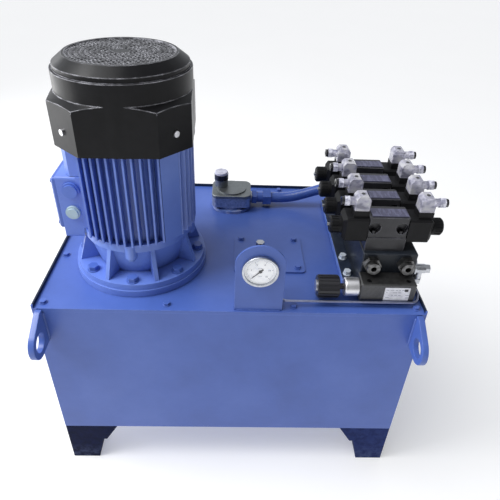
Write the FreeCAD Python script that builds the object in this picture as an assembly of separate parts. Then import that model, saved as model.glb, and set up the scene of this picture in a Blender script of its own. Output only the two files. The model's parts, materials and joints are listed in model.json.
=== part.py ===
import FreeCAD, Part
import math
import os
from FreeCAD import Vector

# Hydraulic power unit: oil tank on four feet, vertical motor with the pump hanging in the oil,
# return filter, valve manifold with four double-solenoid valves, relief valve and pressure gauge.
# Millimetres, +Z up. The origin is on the floor, at the centre of the four foot bolt holes.
# +X runs to the valve side and -Y is the front, where the gauge is.

# ---- tank ----
TANK_LENGTH = 750.0
TANK_DEPTH = 500.0
FOOT_HEIGHT = 120.0
LID_TOP = 480.0
LID_THICK = 5.0
SEAL_THICK = 3.0
WALL = 4.0
FLOOR_THICK = 5.0
RIM_WIDTH = 34.0
RIM_THICK = 5.0
EDGE_STRIP_HEIGHT = 7.0
EDGE_STRIP_THICK = 3.0
LID_SCREW_INSET = 17.0
LID_SCREW_HOLE_R = 3.4
BAFFLE_X = 60.0

HALF_LENGTH = TANK_LENGTH / 2
HALF_DEPTH = TANK_DEPTH / 2
LID_BOTTOM = LID_TOP - LID_THICK
SHELL_TOP = LID_BOTTOM - SEAL_THICK

# ---- feet and lifting lugs ----
FOOT_WIDTH = 62.0
FOOT_PLATE = 6.0
FOOT_SOLE = 8.0
FOOT_DEPTH = 60.0
FOOT_BOLT_INSET = 31.0
FOOT_BOLT_R = 7.0
LUG_THICK = 12.0
LUG_INSET = 7.0
LUG_NOSE_R = 32.0
LUG_HOLE_R = 19.0
LUG_REACH = 37.0
LUG_HOLE_Z = 427.0
LUG_ROOT_TOP = 478.0
LUG_ROOT_BOTTOM = 397.0

# ---- motor, heights above the lid ----
MOTOR_X = -193.0
MOTOR_Y = -80.0
BELL_RING = 15.0
MOTOR_FLANGE_R = 134.0
MOTOR_FLANGE_THICK = 13.0
FLANGE_BOLT_PCR = 117.0
SHIELD_TOP = 104.0
SHIELD_RIM_R = 108.0
FRAME_TOP = 300.0
FRAME_R = 96.0
FRAME_BORE_R = 88.0
FIN_TIP_R = 115.0
FIN_COUNT = 10
FIN_PITCH = 14.0
FIN_THICK = 3.4
TERMINAL_BOTTOM = LID_TOP + 83.0
TERMINAL_TOP = LID_TOP + 214.0
COWL_APOTHEM = 117.5
COWL_FACE_HALF = 66.0
COWL_CORNER_FACE = (COWL_APOTHEM + COWL_FACE_HALF) / math.sqrt(2) + 0.1
COWL_SHEET = 2.0
COWL_BOTTOM = 284.0
COWL_SKIRT_TOP = 361.0
COWL_DRUM_R = 118.5
COWL_LEDGE = 9.0
COWL_DRUM_TOP = 404.0
COWL_STEP_R = 114.0
COWL_SHOULDER = 412.0
COWL_TOP = 426.0
GRILLE_R = 94.0
GRILLE_HOLE_R = 2.9
GRILLE_PITCH = 8.6
COWL_TURN = 2.0
SHAFT_R = 16.0
SHAFT_GAP = 0.06
ROTOR_R = 59.0
ROTOR_GAP = 0.6

# ---- pump train, heights above the floor ----
BELL_TUBE_R = 90.0
BELL_WALL = 8.0
BELL_BOTTOM = 348.0
PUMP_TOP = BELL_BOTTOM
PUMP_BOTTOM = 262.0
PUMP_SHAFT_R = 9.0
GEAR_R = 14.6
GEAR_CENTRES = 30.0
GEAR_GAP = 0.6
PRESSURE_PIPE_R = 10.0
PRESSURE_PIPE_Z = 312.0

# ---- return filter ----
FILTER_X = -7.0
FILTER_Y = 155.0
FILTER_HEAD = (-55.0, 41.0, 113.0, 197.0)
FILTER_NECK_R = 40.0
FILTER_FLANGE_R = 50.0
FILTER_HEAD_TOP = 38.0
FILTER_BOWL_R = 34.0
FILTER_PORT_Z = 23.0
FILTER_PORT_REACH = 51.0
INDICATOR_BASE = 68.0
RETURN_PIPE_R = 12.5

# ---- manifold and valves ----
RISER = (224.0, 366.0, -180.0, 170.0)
RISER_THICK = 12.0
RISER_BOLT_X = 237.0
MANIFOLD = (250.0, 356.0, -185.0, 95.0)
MANIFOLD_BASE = LID_TOP + RISER_THICK
MANIFOLD_TOP = LID_TOP + 95.0
RETURN_PORT = (278.0, 95.0, LID_TOP + 76.0)
VALVE_X = 290.0
VALVE_COUNT = 4
VALVE_FIRST_Y = -152.0
VALVE_PITCH = 70.0
VALVE_HALF_WIDTH = 23.0
VALVE_BODY_HALF = 38.0
VALVE_FOOT_HEIGHT = 26.0
VALVE_BODY_HEIGHT = 73.0
POCKET_OFFSET = 26.0
POCKET_R = 11.5
POCKET_DEPTH = 13.0
POCKET_Z = 51.0
POCKET_FLOOR = 38.5
COIL_LENGTH = 48.0
COIL_BOTTOM = 20.0
COIL_HEIGHT = 49.0
END_NUT_LENGTH = 22.0
END_NUT_R = 17.0
SPOOL_R = 6.0
SPOOL_GAP = 0.08
PIN_STANDS_OUT = 4.0
PLUG_BASE = 28.0
PLUG_SEAT = 82.0
PLUG_HEIGHT = 29.0
PLUG_GLAND_R = 9.0
GLAND_HEIGHT = 14.0
PLUG_OFFSET_LEFT = -53.0
PLUG_OFFSET_RIGHT = 68.0
PORT_BORE_R = 4.5
PORT_DEPTH = 23.0
ADAPTER_BORE_R = 5.5

# ---- relief valve ----
RELIEF_Y = -206.0
RELIEF_Z = LID_TOP + 31.0
RELIEF_BODY = (246.0, 352.0)
RELIEF_HALF_HEIGHT = 21.5
RELIEF_FRONT_Y = -226.0
RELIEF_NUT_LENGTH = 30.0
RELIEF_NUT_R = 18.5
KNOB_LENGTH = 42.0
KNOB_R = 22.5
KNOB_STEM = 10.0
KNOB_STEM_R = 6.0
KNOB_RIBS = 18

# ---- pressure gauge ----
GAUGE_X = 50.0
GAUGE_Z = LID_TOP + 95.0
BRACKET_Y = -245.0
BRACKET_THICK = 4.0
BRACKET_HALF = 45.5
BRACKET_SIDE_HEIGHT = 114.0
BRACKET_HEIGHT = 149.0
BRACKET_FOOT = 34.0
GAUGE_BEZEL_R = 33.5
GAUGE_CASE_R = 30.0
GAUGE_TUBE_R = 2.4
TEE_X = 367.0
TEE_Y = -178.0
TEE_Z = LID_TOP + 57.0

X_AXIS = Vector(1, 0, 0)
Y_AXIS = Vector(0, 1, 0)
Z_AXIS = Vector(0, 0, 1)


def box(x0, x1, y0, y1, z0, z1):
    """A block between two opposite corners, given in any order."""
    low = Vector(min(x0, x1), min(y0, y1), min(z0, z1))
    return Part.makeBox(abs(x1 - x0), abs(y1 - y0), abs(z1 - z0), low)


def rod(radius, length, start, axis=Z_AXIS):
    return Part.makeCylinder(radius, length, Vector(*start), axis)


def tube(outer, inner, length, start, axis=Z_AXIS):
    return rod(outer, length, start, axis).cut(rod(inner, length, start, axis))


def cone(r0, r1, length, start, axis=Z_AXIS):
    return Part.makeCone(r0, r1, length, Vector(*start), axis)


def prism(points, direction):
    """A flat polygon pulled along a direction."""
    corners = [Vector(*p) for p in points]
    return Part.Face(Part.makePolygon(corners + corners[:1])).extrude(Vector(*direction))


def hexagon(flats, length, start, axis=Z_AXIS):
    """A hexagonal bar, given its size across flats."""
    across = flats / math.sqrt(3)
    corners = [(across * math.cos(math.radians(60 * i)), across * math.sin(math.radians(60 * i)), 0)
               for i in range(6)]
    bar = prism(corners, (0, 0, length))
    bar.Placement = FreeCAD.Placement(Vector(*start), FreeCAD.Rotation(Z_AXIS, axis))
    return bar


def join(shapes):
    whole = shapes[0]
    if len(shapes) > 1:
        whole = whole.multiFuse(shapes[1:])
    return whole.removeSplitter()


def drill(shape, holes):
    return shape.cut(Part.makeCompound(holes)) if holes else shape


def turned(shape, degrees, x=MOTOR_X, y=MOTOR_Y):
    """The shape turned about an upright line."""
    copy = shape.copy()
    copy.rotate(Vector(x, y, 0), Z_AXIS, degrees)
    return copy


def mirrored(shape, left_right=False, front_back=False):
    if left_right:
        shape = shape.mirror(Vector(0, 0, 0), X_AXIS)
    if front_back:
        shape = shape.mirror(Vector(0, 0, 0), Y_AXIS)
    return shape


def bent_pipe(points, bends, outer, inner=0.0):
    """A round pipe along straight runs joined by tangent arcs of the given radii."""
    corners = [Vector(*p) for p in points]
    edges = []
    here = corners[0]
    for before, corner, after, bend in zip(corners, corners[1:], corners[2:], bends):
        into = (corner - before).normalize()
        out = (after - corner).normalize()
        half_turn = into.getAngle(out) / 2
        setback = bend * math.tan(half_turn)
        start = corner - into * setback
        end = corner + out * setback
        bulge = (out - into).normalize()
        middle = corner + bulge * (bend / math.cos(half_turn) - bend)
        edges.append(Part.LineSegment(here, start).toShape())
        edges.append(Part.Arc(start, middle, end).toShape())
        here = end
    edges.append(Part.LineSegment(here, corners[-1]).toShape())
    path = Part.Wire(edges)
    heading = (corners[1] - corners[0]).normalize()

    def sweep(radius):
        ring = Part.Wire(Part.makeCircle(radius, corners[0], heading))
        return path.makePipeShell([ring], True, False)

    solid = sweep(outer)
    return solid.cut(sweep(inner)) if inner else solid


def save(name, *shapes):
    """Write one node. Every solid in it has to be closed and valid."""
    solids = [solid for shape in shapes for solid in shape.Solids]
    for solid in solids:
        if not solid.isValid() or solid.Volume <= 0:
            raise RuntimeError("bad solid in " + name)
    whole = solids[0] if len(solids) == 1 else Part.makeCompound(solids)
    whole.exportStep("parts/" + name + ".step")


def around(count, radius, first=0.0, x=MOTOR_X, y=MOTOR_Y):
    """Places evenly spaced on a circle."""
    for i in range(count):
        angle = math.radians(first + 360.0 * i / count)
        yield x + radius * math.cos(angle), y + radius * math.sin(angle)


def lid_screw_places():
    """Four screws along the front and the back, two more down each side."""
    y_edge = HALF_DEPTH - LID_SCREW_INSET
    x_edge = HALF_LENGTH - LID_SCREW_INSET
    places = [(x, sign * y_edge) for sign in (-1, 1) for x in (-x_edge, -125.0, 119.0, x_edge)]
    places += [(sign * x_edge, y) for sign in (-1, 1) for y in (-80.0, 80.0)]
    return places


def cover_screw_places():
    return [(x, y) for x in (18.0, 138.0) for y in (-114.0, -10.0)]


# ---- tank ----

def make_tank():
    outer = box(-HALF_LENGTH, HALF_LENGTH, -HALF_DEPTH, HALF_DEPTH, FOOT_HEIGHT, SHELL_TOP)
    inner = box(-HALF_LENGTH + WALL, HALF_LENGTH - WALL, -HALF_DEPTH + WALL, HALF_DEPTH - WALL,
                FOOT_HEIGHT + FLOOR_THICK, SHELL_TOP - RIM_THICK)
    mouth = box(-HALF_LENGTH + RIM_WIDTH, HALF_LENGTH - RIM_WIDTH, -HALF_DEPTH + RIM_WIDTH,
                HALF_DEPTH - RIM_WIDTH, SHELL_TOP - RIM_THICK, SHELL_TOP)
    baffle = box(BAFFLE_X, BAFFLE_X + WALL, -HALF_DEPTH + WALL, HALF_DEPTH - WALL,
                 FOOT_HEIGHT + FLOOR_THICK, 400.0)
    flow_gaps = [box(BAFFLE_X - 1, BAFFLE_X + WALL + 1, y - 35, y + 35, FOOT_HEIGHT + FLOOR_THICK, 165.0)
                 for y in (-170.0, 170.0)]
    pipe_gap = rod(PRESSURE_PIPE_R + 4, WALL + 2, (BAFFLE_X - 1, MOTOR_Y, PRESSURE_PIPE_Z), X_AXIS)
    baffle = drill(baffle, flow_gaps + [pipe_gap])
    holes = [rod(LID_SCREW_HOLE_R, RIM_THICK, (x, y, SHELL_TOP - RIM_THICK))
             for x, y in lid_screw_places()]
    drain = rod(9.0, WALL + 2, (-60.0, HALF_DEPTH - WALL - 1, FOOT_HEIGHT + 25.0), Y_AXIS)
    sight = [rod(6.0, WALL + 2, (HALF_LENGTH - WALL - 1, 60.0, z), X_AXIS) for z in (255.0, 382.0)]
    shell = drill(outer.cut(inner).cut(mouth), holes + [drain] + sight)
    save("tank_shell", join([shell, baffle]))


def make_lid():
    plate = box(-HALF_LENGTH, HALF_LENGTH, -HALF_DEPTH, HALF_DEPTH, LID_BOTTOM, LID_TOP)
    through = LID_THICK + 2
    low = LID_BOTTOM - 1
    holes = [rod(LID_SCREW_HOLE_R, through, (x, y, low)) for x, y in lid_screw_places()]
    holes += [rod(LID_SCREW_HOLE_R, through, (x, y, low)) for x, y in cover_screw_places()]
    holes.append(rod(BELL_TUBE_R + 0.5, through, (MOTOR_X, MOTOR_Y, low)))
    holes.append(rod(FILTER_BOWL_R + 1, through, (FILTER_X, FILTER_Y, low)))
    holes.append(rod(PRESSURE_PIPE_R + 2, through, (303.0, MOTOR_Y, low)))
    holes.append(rod(15.0, through, (-300.0, 190.0, low)))
    holes.append(box(35.0, 121.0, -98.0, -26.0, low, LID_TOP + 1))
    save("tank_lid", drill(plate, holes))


def make_lid_seal():
    """Flat gasket under the lid and a raised sealing strip on its left, back and right edges."""
    sheet = box(-HALF_LENGTH, HALF_LENGTH, -HALF_DEPTH, HALF_DEPTH, SHELL_TOP, LID_BOTTOM)
    window = box(-HALF_LENGTH + RIM_WIDTH, HALF_LENGTH - RIM_WIDTH, -HALF_DEPTH + RIM_WIDTH,
                 HALF_DEPTH - RIM_WIDTH, SHELL_TOP, LID_BOTTOM)
    holes = [rod(LID_SCREW_HOLE_R, SEAL_THICK, (x, y, SHELL_TOP)) for x, y in lid_screw_places()]
    top = LID_TOP + EDGE_STRIP_HEIGHT
    left = box(-HALF_LENGTH, -HALF_LENGTH + EDGE_STRIP_THICK, -HALF_DEPTH, HALF_DEPTH, LID_TOP, top)
    right = mirrored(left, left_right=True)
    back = box(-HALF_LENGTH, HALF_LENGTH, HALF_DEPTH - EDGE_STRIP_THICK, HALF_DEPTH, LID_TOP, top)
    save("lid_seal", drill(sheet.cut(window), holes), join([left, right, back]))


def make_lid_screws():
    """Hexagon screws with washers for the lid and its cleaning cover."""
    screws = []
    places = [(x, y, LID_TOP, 14.0) for x, y in lid_screw_places()]
    places += [(x, y, LID_TOP + 4.0, 12.0) for x, y in cover_screw_places()]
    for x, y, z, shank in places:
        washer = rod(7.5, 1.4, (x, y, z))
        head = hexagon(11.0, 4.6, (x, y, z + 1.4))
        screws.append(join([washer, head, rod(3.0, shank + 1.4, (x, y, z - shank))]))
    save("lid_screws", *screws)


def make_cleaning_cover():
    plate = box(3.0, 153.0, -129.0, 5.0, LID_TOP, LID_TOP + 4.0)
    plate = plate.makeFillet(8.0, [e for e in plate.Edges if abs(e.tangentAt(0).z) > 0.9])
    holes = [rod(LID_SCREW_HOLE_R, 6.0, (x, y, LID_TOP - 1)) for x, y in cover_screw_places()]
    save("cleaning_cover", drill(plate, holes))


def one_foot():
    """Front left foot: a stepped front plate, a side plate and a sole with its bolt hole."""
    left = -HALF_LENGTH
    front = -HALF_DEPTH
    profile = [(left, 0), (left + FOOT_WIDTH, 0), (left + 78, 70), (left + 88, 70),
               (left + 118, FOOT_HEIGHT), (left, FOOT_HEIGHT)]
    face = prism([(x, front, z) for x, z in profile], (0, FOOT_PLATE, 0))
    side_profile = [(front, 0), (front + FOOT_DEPTH, 0), (front + 76, 70), (front + 110, FOOT_HEIGHT),
                    (front, FOOT_HEIGHT)]
    side = prism([(left, y, z) for y, z in side_profile], (FOOT_PLATE, 0, 0))
    sole = box(left, left + FOOT_WIDTH, front, front + FOOT_DEPTH, 0, FOOT_SOLE)
    hole = rod(FOOT_BOLT_R, FOOT_SOLE + 2, (left + FOOT_BOLT_INSET, front + FOOT_BOLT_INSET, -1))
    return join([face, side, sole]).cut(hole)


def make_feet():
    foot = one_foot()
    save("feet_front", foot, mirrored(foot, left_right=True))
    save("feet_rear", mirrored(foot, front_back=True), mirrored(foot, True, True))


def tangent_point(corner, centre, radius, side):
    """Where a line from a corner touches a circle, in the plane (y, z)."""
    dy = corner[0] - centre[0]
    dz = corner[1] - centre[1]
    reach = math.hypot(dy, dz)
    angle = math.atan2(dz, dy) + side * math.acos(radius / reach)
    return centre[0] + radius * math.cos(angle), centre[1] + radius * math.sin(angle)


def one_lug():
    """Front left lifting lug: an upright plate with a round nose and a shackle hole."""
    x = -HALF_LENGTH + LUG_INSET
    wall = -HALF_DEPTH
    nose = (wall - LUG_REACH, LUG_HOLE_Z)
    shoulder = (wall - 12.0, LUG_ROOT_TOP)
    upper = tangent_point(shoulder, nose, LUG_NOSE_R, 1)
    lower = tangent_point((wall, LUG_ROOT_BOTTOM), nose, LUG_NOSE_R, -1)
    outline = [(wall, LUG_ROOT_TOP), shoulder, upper, nose, lower, (wall, LUG_ROOT_BOTTOM)]
    web = prism([(x, y, z) for y, z in outline], (LUG_THICK, 0, 0))
    round_nose = rod(LUG_NOSE_R, LUG_THICK, (x, nose[0], nose[1]), X_AXIS)
    hole = rod(LUG_HOLE_R, LUG_THICK + 2, (x - 1, nose[0], nose[1]), X_AXIS)
    return join([web, round_nose]).cut(hole)


def make_lugs():
    lug = one_lug()
    save("lugs_front", lug, mirrored(lug, left_right=True))
    save("lugs_rear", mirrored(lug, front_back=True), mirrored(lug, True, True))


def make_drain_and_sight():
    """Drain plug low on the back wall and a sight glass on the right side wall."""
    z = FOOT_HEIGHT + 25.0
    head = hexagon(24.0, 9.0, (-60.0, HALF_DEPTH + 2.0, z), Y_AXIS)
    collar = rod(15.0, 2.0, (-60.0, HALF_DEPTH, z), Y_AXIS)
    thread = rod(8.8, 14.0, (-60.0, HALF_DEPTH - 14.0, z), Y_AXIS)
    save("drain_plug", join([head, collar, thread]))
    bar = box(HALF_LENGTH, HALF_LENGTH + 16.0, 48.0, 72.0, 240.0, 397.0)
    bar = bar.makeFillet(5.0, [e for e in bar.Edges if abs(e.tangentAt(0).x) > 0.9])
    window = box(HALF_LENGTH + 12.0, HALF_LENGTH + 17.0, 54.0, 66.0, 275.0, 362.0)
    studs = [rod(5.7, 12.0, (HALF_LENGTH - 11.0, 60.0, z), X_AXIS) for z in (255.0, 382.0)]
    nuts = [hexagon(14.0, 4.0, (HALF_LENGTH + 16.0, 60.0, z), X_AXIS) for z in (255.0, 382.0)]
    save("level_sight", join([bar.cut(window)] + studs + nuts))


def make_breather():
    x = -300.0
    y = 190.0
    flange = rod(30.0, 4.0, (x, y, LID_TOP))
    neck = rod(14.5, 62.0, (x, y, LID_TOP - 40.0))
    cap = rod(27.0, 26.0, (x, y, LID_TOP + 22.0))
    cap = cap.makeFillet(5.0, [cap.Edges[0]])
    save("filler_breather", join([flange, neck, cap]))


# ---- motor ----

def make_motor_shield():
    """Drive-end shield: flange, conical body, radial ribs and screw bosses."""
    base = LID_TOP + BELL_RING
    top = LID_TOP + SHIELD_TOP
    flange = rod(MOTOR_FLANGE_R - 3, MOTOR_FLANGE_THICK, (MOTOR_X, MOTOR_Y, base))
    body_base = base + MOTOR_FLANGE_THICK
    body = cone(88.0, 104.0, top - body_base - 16, (MOTOR_X, MOTOR_Y, body_base))
    rim = rod(SHIELD_RIM_R, 16.0, (MOTOR_X, MOTOR_Y, top - 16))
    rib = prism([(MOTOR_X + 80, MOTOR_Y - 4, body_base), (MOTOR_X + 126, MOTOR_Y - 4, body_base),
                 (MOTOR_X + 106, MOTOR_Y - 4, top - 12), (MOTOR_X + 80, MOTOR_Y - 4, top - 12)], (0, 8, 0))
    ribs = [turned(rib, angle) for angle in range(22, 382, 45)]
    bosses = [rod(11.0, 30.0, (x, y, top - 30)) for x, y in around(4, 102.0)]
    bolt_pockets = [rod(9.0, 8.0, (x, y, top - 38)) for x, y in around(4, 102.0)]
    hollow = rod(74.0, top - body_base - 24, (MOTOR_X, MOTOR_Y, body_base + 12))
    seat = rod(36.0, 40.0, (MOTOR_X, MOTOR_Y, body_base - 18))
    bolt_holes = [rod(6.5, MOTOR_FLANGE_THICK + 2, (x, y, base - 1))
                  for x, y in around(8, FLANGE_BOLT_PCR, 0.0)]
    mouth = rod(74.0, 14.0, (MOTOR_X, MOTOR_Y, top - 13))
    openings = [hollow, seat, mouth] + bolt_holes + bolt_pockets
    shield = drill(join([flange, body, rim] + ribs + bosses), openings)
    save("motor_shield_front", shield)


def make_motor_frame():
    """Finned frame: a tube with three groups of parallel fins, pads and the terminal box's seat."""
    bottom = LID_TOP + SHIELD_TOP
    top = LID_TOP + FRAME_TOP
    height = top - bottom
    core = rod(FRAME_R, height, (MOTOR_X, MOTOR_Y, bottom))
    fins = []
    for i in range(FIN_COUNT + 1):
        side = FIN_PITCH * ((FIN_COUNT - 1) / 2 - i)
        tip = math.sqrt(FIN_TIP_R ** 2 - side ** 2)
        root = math.sqrt(FRAME_R ** 2 - side ** 2) - 3
        fin = box(MOTOR_X + side - FIN_THICK / 2, MOTOR_X + side + FIN_THICK / 2,
                  MOTOR_Y - tip, MOTOR_Y - root, bottom, top)
        fins += [turned(fin, angle) for angle in ((0, 90, 180) if i < FIN_COUNT else (0,))]
    pad = box(MOTOR_X - 20, MOTOR_X + 20, MOTOR_Y - FIN_TIP_R + 2, MOTOR_Y - FRAME_R + 6, bottom, top)
    pads = [turned(pad, angle) for angle in (45, 135, 225)]
    box_pad = box(MOTOR_X - 98, MOTOR_X - 70, MOTOR_Y - 52, MOTOR_Y + 52, bottom, TERMINAL_TOP)
    upper_pad = box(MOTOR_X - 117, MOTOR_X - 70, MOTOR_Y - 49, MOTOR_Y + 49,
                    TERMINAL_TOP + 0.4, LID_TOP + COWL_BOTTOM - 2)
    upper_pad = upper_pad.makeChamfer(9.0, [e for e in upper_pad.Edges if abs(e.tangentAt(0).z) > 0.9])
    pads.append(upper_pad)
    bore = rod(FRAME_BORE_R, height, (MOTOR_X, MOTOR_Y, bottom))
    frame = join([core, box_pad] + fins + pads).cut(bore)
    save("motor_frame", frame)


def make_motor_shield_rear():
    top = LID_TOP + FRAME_TOP
    plate = rod(FRAME_R, 10.0, (MOTOR_X, MOTOR_Y, top))
    hub = rod(44.0, 18.0, (MOTOR_X, MOTOR_Y, top - 8))
    spigot = tube(FRAME_BORE_R, 80.0, 5.0, (MOTOR_X, MOTOR_Y, top - 5))
    shaft_hole = rod(SHAFT_R + 4, 20.0, (MOTOR_X, MOTOR_Y, top - 9))
    seat = rod(36.0, 14.0, (MOTOR_X, MOTOR_Y, top - 8))
    save("motor_shield_rear", drill(join([plate, hub, spigot]), [shaft_hole, seat]))


def make_motor_inside():
    low = LID_TOP + SHIELD_TOP
    stack = tube(FRAME_BORE_R, ROTOR_R + ROTOR_GAP, 120.0, (MOTOR_X, MOTOR_Y, low + 36))
    coils = [tube(84.0, 66.0, 22.0, (MOTOR_X, MOTOR_Y, z)) for z in (low + 14, low + 156)]
    save("motor_stator", join([stack] + coils))
    rings = [tube(36.0, SHAFT_R + SHAFT_GAP, 14.0, (MOTOR_X, MOTOR_Y, z))
             for z in (LID_TOP + 30, LID_TOP + FRAME_TOP - 8)]
    save("motor_bearings", *rings)
    shaft = rod(SHAFT_R, 471.0, (MOTOR_X, MOTOR_Y, LID_TOP - 53))
    core = rod(ROTOR_R, 124.0, (MOTOR_X, MOTOR_Y, low + 34))
    save("motor_rotor", join([shaft, core]))


def make_fan():
    z = LID_TOP + 368
    hub = tube(26.0, SHAFT_R, 34.0, (MOTOR_X, MOTOR_Y, z))
    disc = tube(92.0, 24.0, 4.0, (MOTOR_X, MOTOR_Y, z))
    blade = box(MOTOR_X + 24, MOTOR_X + 92, MOTOR_Y - 2, MOTOR_Y + 2, z, z + 32)
    blades = [turned(blade, angle) for angle in range(0, 360, 40)]
    save("motor_fan", join([hub, disc] + blades))


def octagon_points(apothem, half, z):
    corners = [(-half, -apothem), (half, -apothem), (apothem, -half), (apothem, half),
               (half, apothem), (-half, apothem), (-apothem, half), (-apothem, -half)]
    return [(MOTOR_X + x, MOTOR_Y + y, z) for x, y in corners]


def cowl_body(shrink):
    """The cowl's outer form, or its inside when it is shrunk by the sheet thickness."""
    apothem = COWL_APOTHEM - shrink
    half = COWL_FACE_HALF - shrink * math.tan(math.radians(22.5))
    bottom = LID_TOP + COWL_BOTTOM
    height = COWL_SKIRT_TOP - COWL_BOTTOM - shrink
    centre = (MOTOR_X, MOTOR_Y)
    corner_r = math.hypot(apothem, half)
    slope = rod(corner_r, height, (*centre, bottom))
    slope = slope.fuse(cone(corner_r, COWL_DRUM_R - shrink - 1, COWL_LEDGE, (*centre, bottom + height)))
    skirt = prism(octagon_points(apothem, half, bottom), (0, 0, height + COWL_LEDGE)).common(slope)
    step = LID_TOP + COWL_DRUM_TOP - shrink
    drum = rod(COWL_DRUM_R - shrink, COWL_DRUM_TOP - COWL_BOTTOM - shrink, (*centre, bottom))
    shoulder = rod(COWL_STEP_R - shrink, COWL_SHOULDER - COWL_DRUM_TOP, (*centre, step))
    crown = cone(COWL_STEP_R - shrink, GRILLE_R + 2 - shrink, COWL_TOP - COWL_SHOULDER,
                 (*centre, LID_TOP + COWL_SHOULDER - shrink))
    return turned(join([skirt, drum, shoulder, crown]), COWL_TURN)


def make_cowl():
    """Sheet-metal fan cowl with an eight-sided skirt, a round drum and a perforated top."""
    mouth = rod(GRILLE_R - 3, 20.0, (MOTOR_X, MOTOR_Y, LID_TOP + COWL_TOP - 10))
    sheet = cowl_body(0).cut(cowl_body(COWL_SHEET)).cut(mouth)
    screw_holes = []
    for angle in (45, 135, 225, 315):
        hole = rod(3.2, 20.0, (MOTOR_X + 112, MOTOR_Y, LID_TOP + 318), X_AXIS)
        screw_holes.append(turned(hole, angle + COWL_TURN))
    sheet = drill(sheet, screw_holes)
    z = LID_TOP + COWL_TOP - 3.5
    rims = [Part.Wire(Part.makeCircle(GRILLE_R - 3, Vector(MOTOR_X, MOTOR_Y, z)))]
    for ring in range(2, 11):
        radius = GRILLE_PITCH * ring
        count = int(2 * math.pi * radius / GRILLE_PITCH)
        for x, y in around(count, radius, 7.0 * ring):
            rims.append(Part.Wire(Part.makeCircle(GRILLE_HOLE_R, Vector(x, y, z))))
    grille = Part.makeFace(rims, "Part::FaceMakerBullseye").extrude(Vector(0, 0, 2.0))
    save("motor_cowl", sheet, grille)


def make_motor_screws():
    """Cowl screws on the skirt's corner faces and the through bolts of the front shield."""
    screws = []
    for angle in (45, 135, 225, 315):
        head = rod(5.5, 3.0, (MOTOR_X + COWL_CORNER_FACE, MOTOR_Y, LID_TOP + 318), X_AXIS)
        shank = rod(2.8, 18.0, (MOTOR_X + 112.5, MOTOR_Y, LID_TOP + 318), X_AXIS)
        screws.append(turned(join([head, shank]), angle + COWL_TURN))
    for x, y in around(4, 102.0):
        screws.append(hexagon(13.0, 7.0, (x, y, LID_TOP + SHIELD_TOP - 37)))
    save("motor_screws", *screws)


def make_flange_bolts():
    bolts = []
    head_z = LID_TOP + BELL_RING + MOTOR_FLANGE_THICK
    for x, y in around(8, FLANGE_BOLT_PCR, 0.0):
        washer = rod(12.0, 2.0, (x, y, head_z))
        head = hexagon(18.0, 8.0, (x, y, head_z + 2))
        bolts.append(join([washer, head, rod(6.0, 28.0, (x, y, head_z - 26))]))
    save("flange_bolts", *bolts)


def make_terminal_box():
    """Cast box on the motor's left side, its lid and its two cable entries."""
    x_root = MOTOR_X - 98
    x_lid = MOTOR_X - 135
    y0 = MOTOR_Y - 52
    y1 = MOTOR_Y + 35
    z0 = TERMINAL_BOTTOM
    z1 = TERMINAL_TOP
    shell = box(x_lid, x_root, y0, y1, z0, z1)
    shell = shell.makeFillet(6.0, [e for e in shell.Edges if abs(e.tangentAt(0).x) > 0.9])
    shell = shell.cut(box(x_lid - 1, x_root - 5, y0 + 5, y1 - 5, z0 + 5, z1 - 5))
    entries = [(x_lid + 26, 668.0, 16.0), (x_lid + 23, 621.0, 13.5)]
    shell = drill(shell, [rod(10.0, 10.0, (x, y0 - 1, z), Y_AXIS) for x, z, _ in entries])
    room_height = LID_TOP + SHIELD_TOP - z0 + 1
    shield_room = rod(SHIELD_RIM_R + 2, room_height, (MOTOR_X, MOTOR_Y, z0 - 1))
    boss_room = rod(12.0, room_height, (MOTOR_X - 102, MOTOR_Y, z0 - 1))
    save("terminal_box", drill(shell, [shield_room, boss_room]))
    plate = box(x_lid - 10, x_lid, y0 + 3, y1 - 3, z0 + 18, z1 - 3)
    plate = plate.makeFillet(7.0, [e for e in plate.Edges if abs(e.tangentAt(0).x) > 0.9])
    plate = plate.makeChamfer(3.0, [e for e in plate.Edges if e.CenterOfMass.x < x_lid - 9.9])
    screws = [rod(4.0, 2.5, (x_lid - 12.5, y, z), X_AXIS)
              for y in (y0 + 12, y1 - 12) for z in (z0 + 28, z1 - 13)]
    save("terminal_box_lid", join([plate] + screws))
    plugs = []
    for x, z, radius in entries:
        collar = rod(radius, 5.0, (x, y0 - 5, z), Y_AXIS)
        cap = rod(radius - 3, 4.0, (x, y0 - 9, z), Y_AXIS)
        plugs.append(join([collar, cap, rod(9.8, 8.0, (x, y0, z), Y_AXIS)]))
    save("cable_entries", *plugs)


# ---- pump train inside the tank ----

def make_bell_housing():
    ring = rod(MOTOR_FLANGE_R, BELL_RING, (MOTOR_X, MOTOR_Y, LID_TOP))
    barrel = rod(BELL_TUBE_R, LID_TOP - BELL_BOTTOM, (MOTOR_X, MOTOR_Y, BELL_BOTTOM))
    room = rod(BELL_TUBE_R - BELL_WALL, LID_TOP + BELL_RING - BELL_BOTTOM - 10,
               (MOTOR_X, MOTOR_Y, BELL_BOTTOM + 10))
    windows = [turned(box(MOTOR_X, MOTOR_X + 100, MOTOR_Y - 30, MOTOR_Y + 30, 385.0, 440.0), angle)
               for angle in (45, 135, 225, 315)]
    seat = rod(22.0, 20.0, (MOTOR_X, MOTOR_Y, BELL_BOTTOM - 5))
    bolt_holes = [rod(6.2, BELL_RING + 2, (x, y, LID_TOP - 1))
                  for x, y in around(8, FLANGE_BOLT_PCR, 0.0)]
    save("bell_housing", drill(join([ring, barrel]), [room, seat] + windows + bolt_holes))


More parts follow.
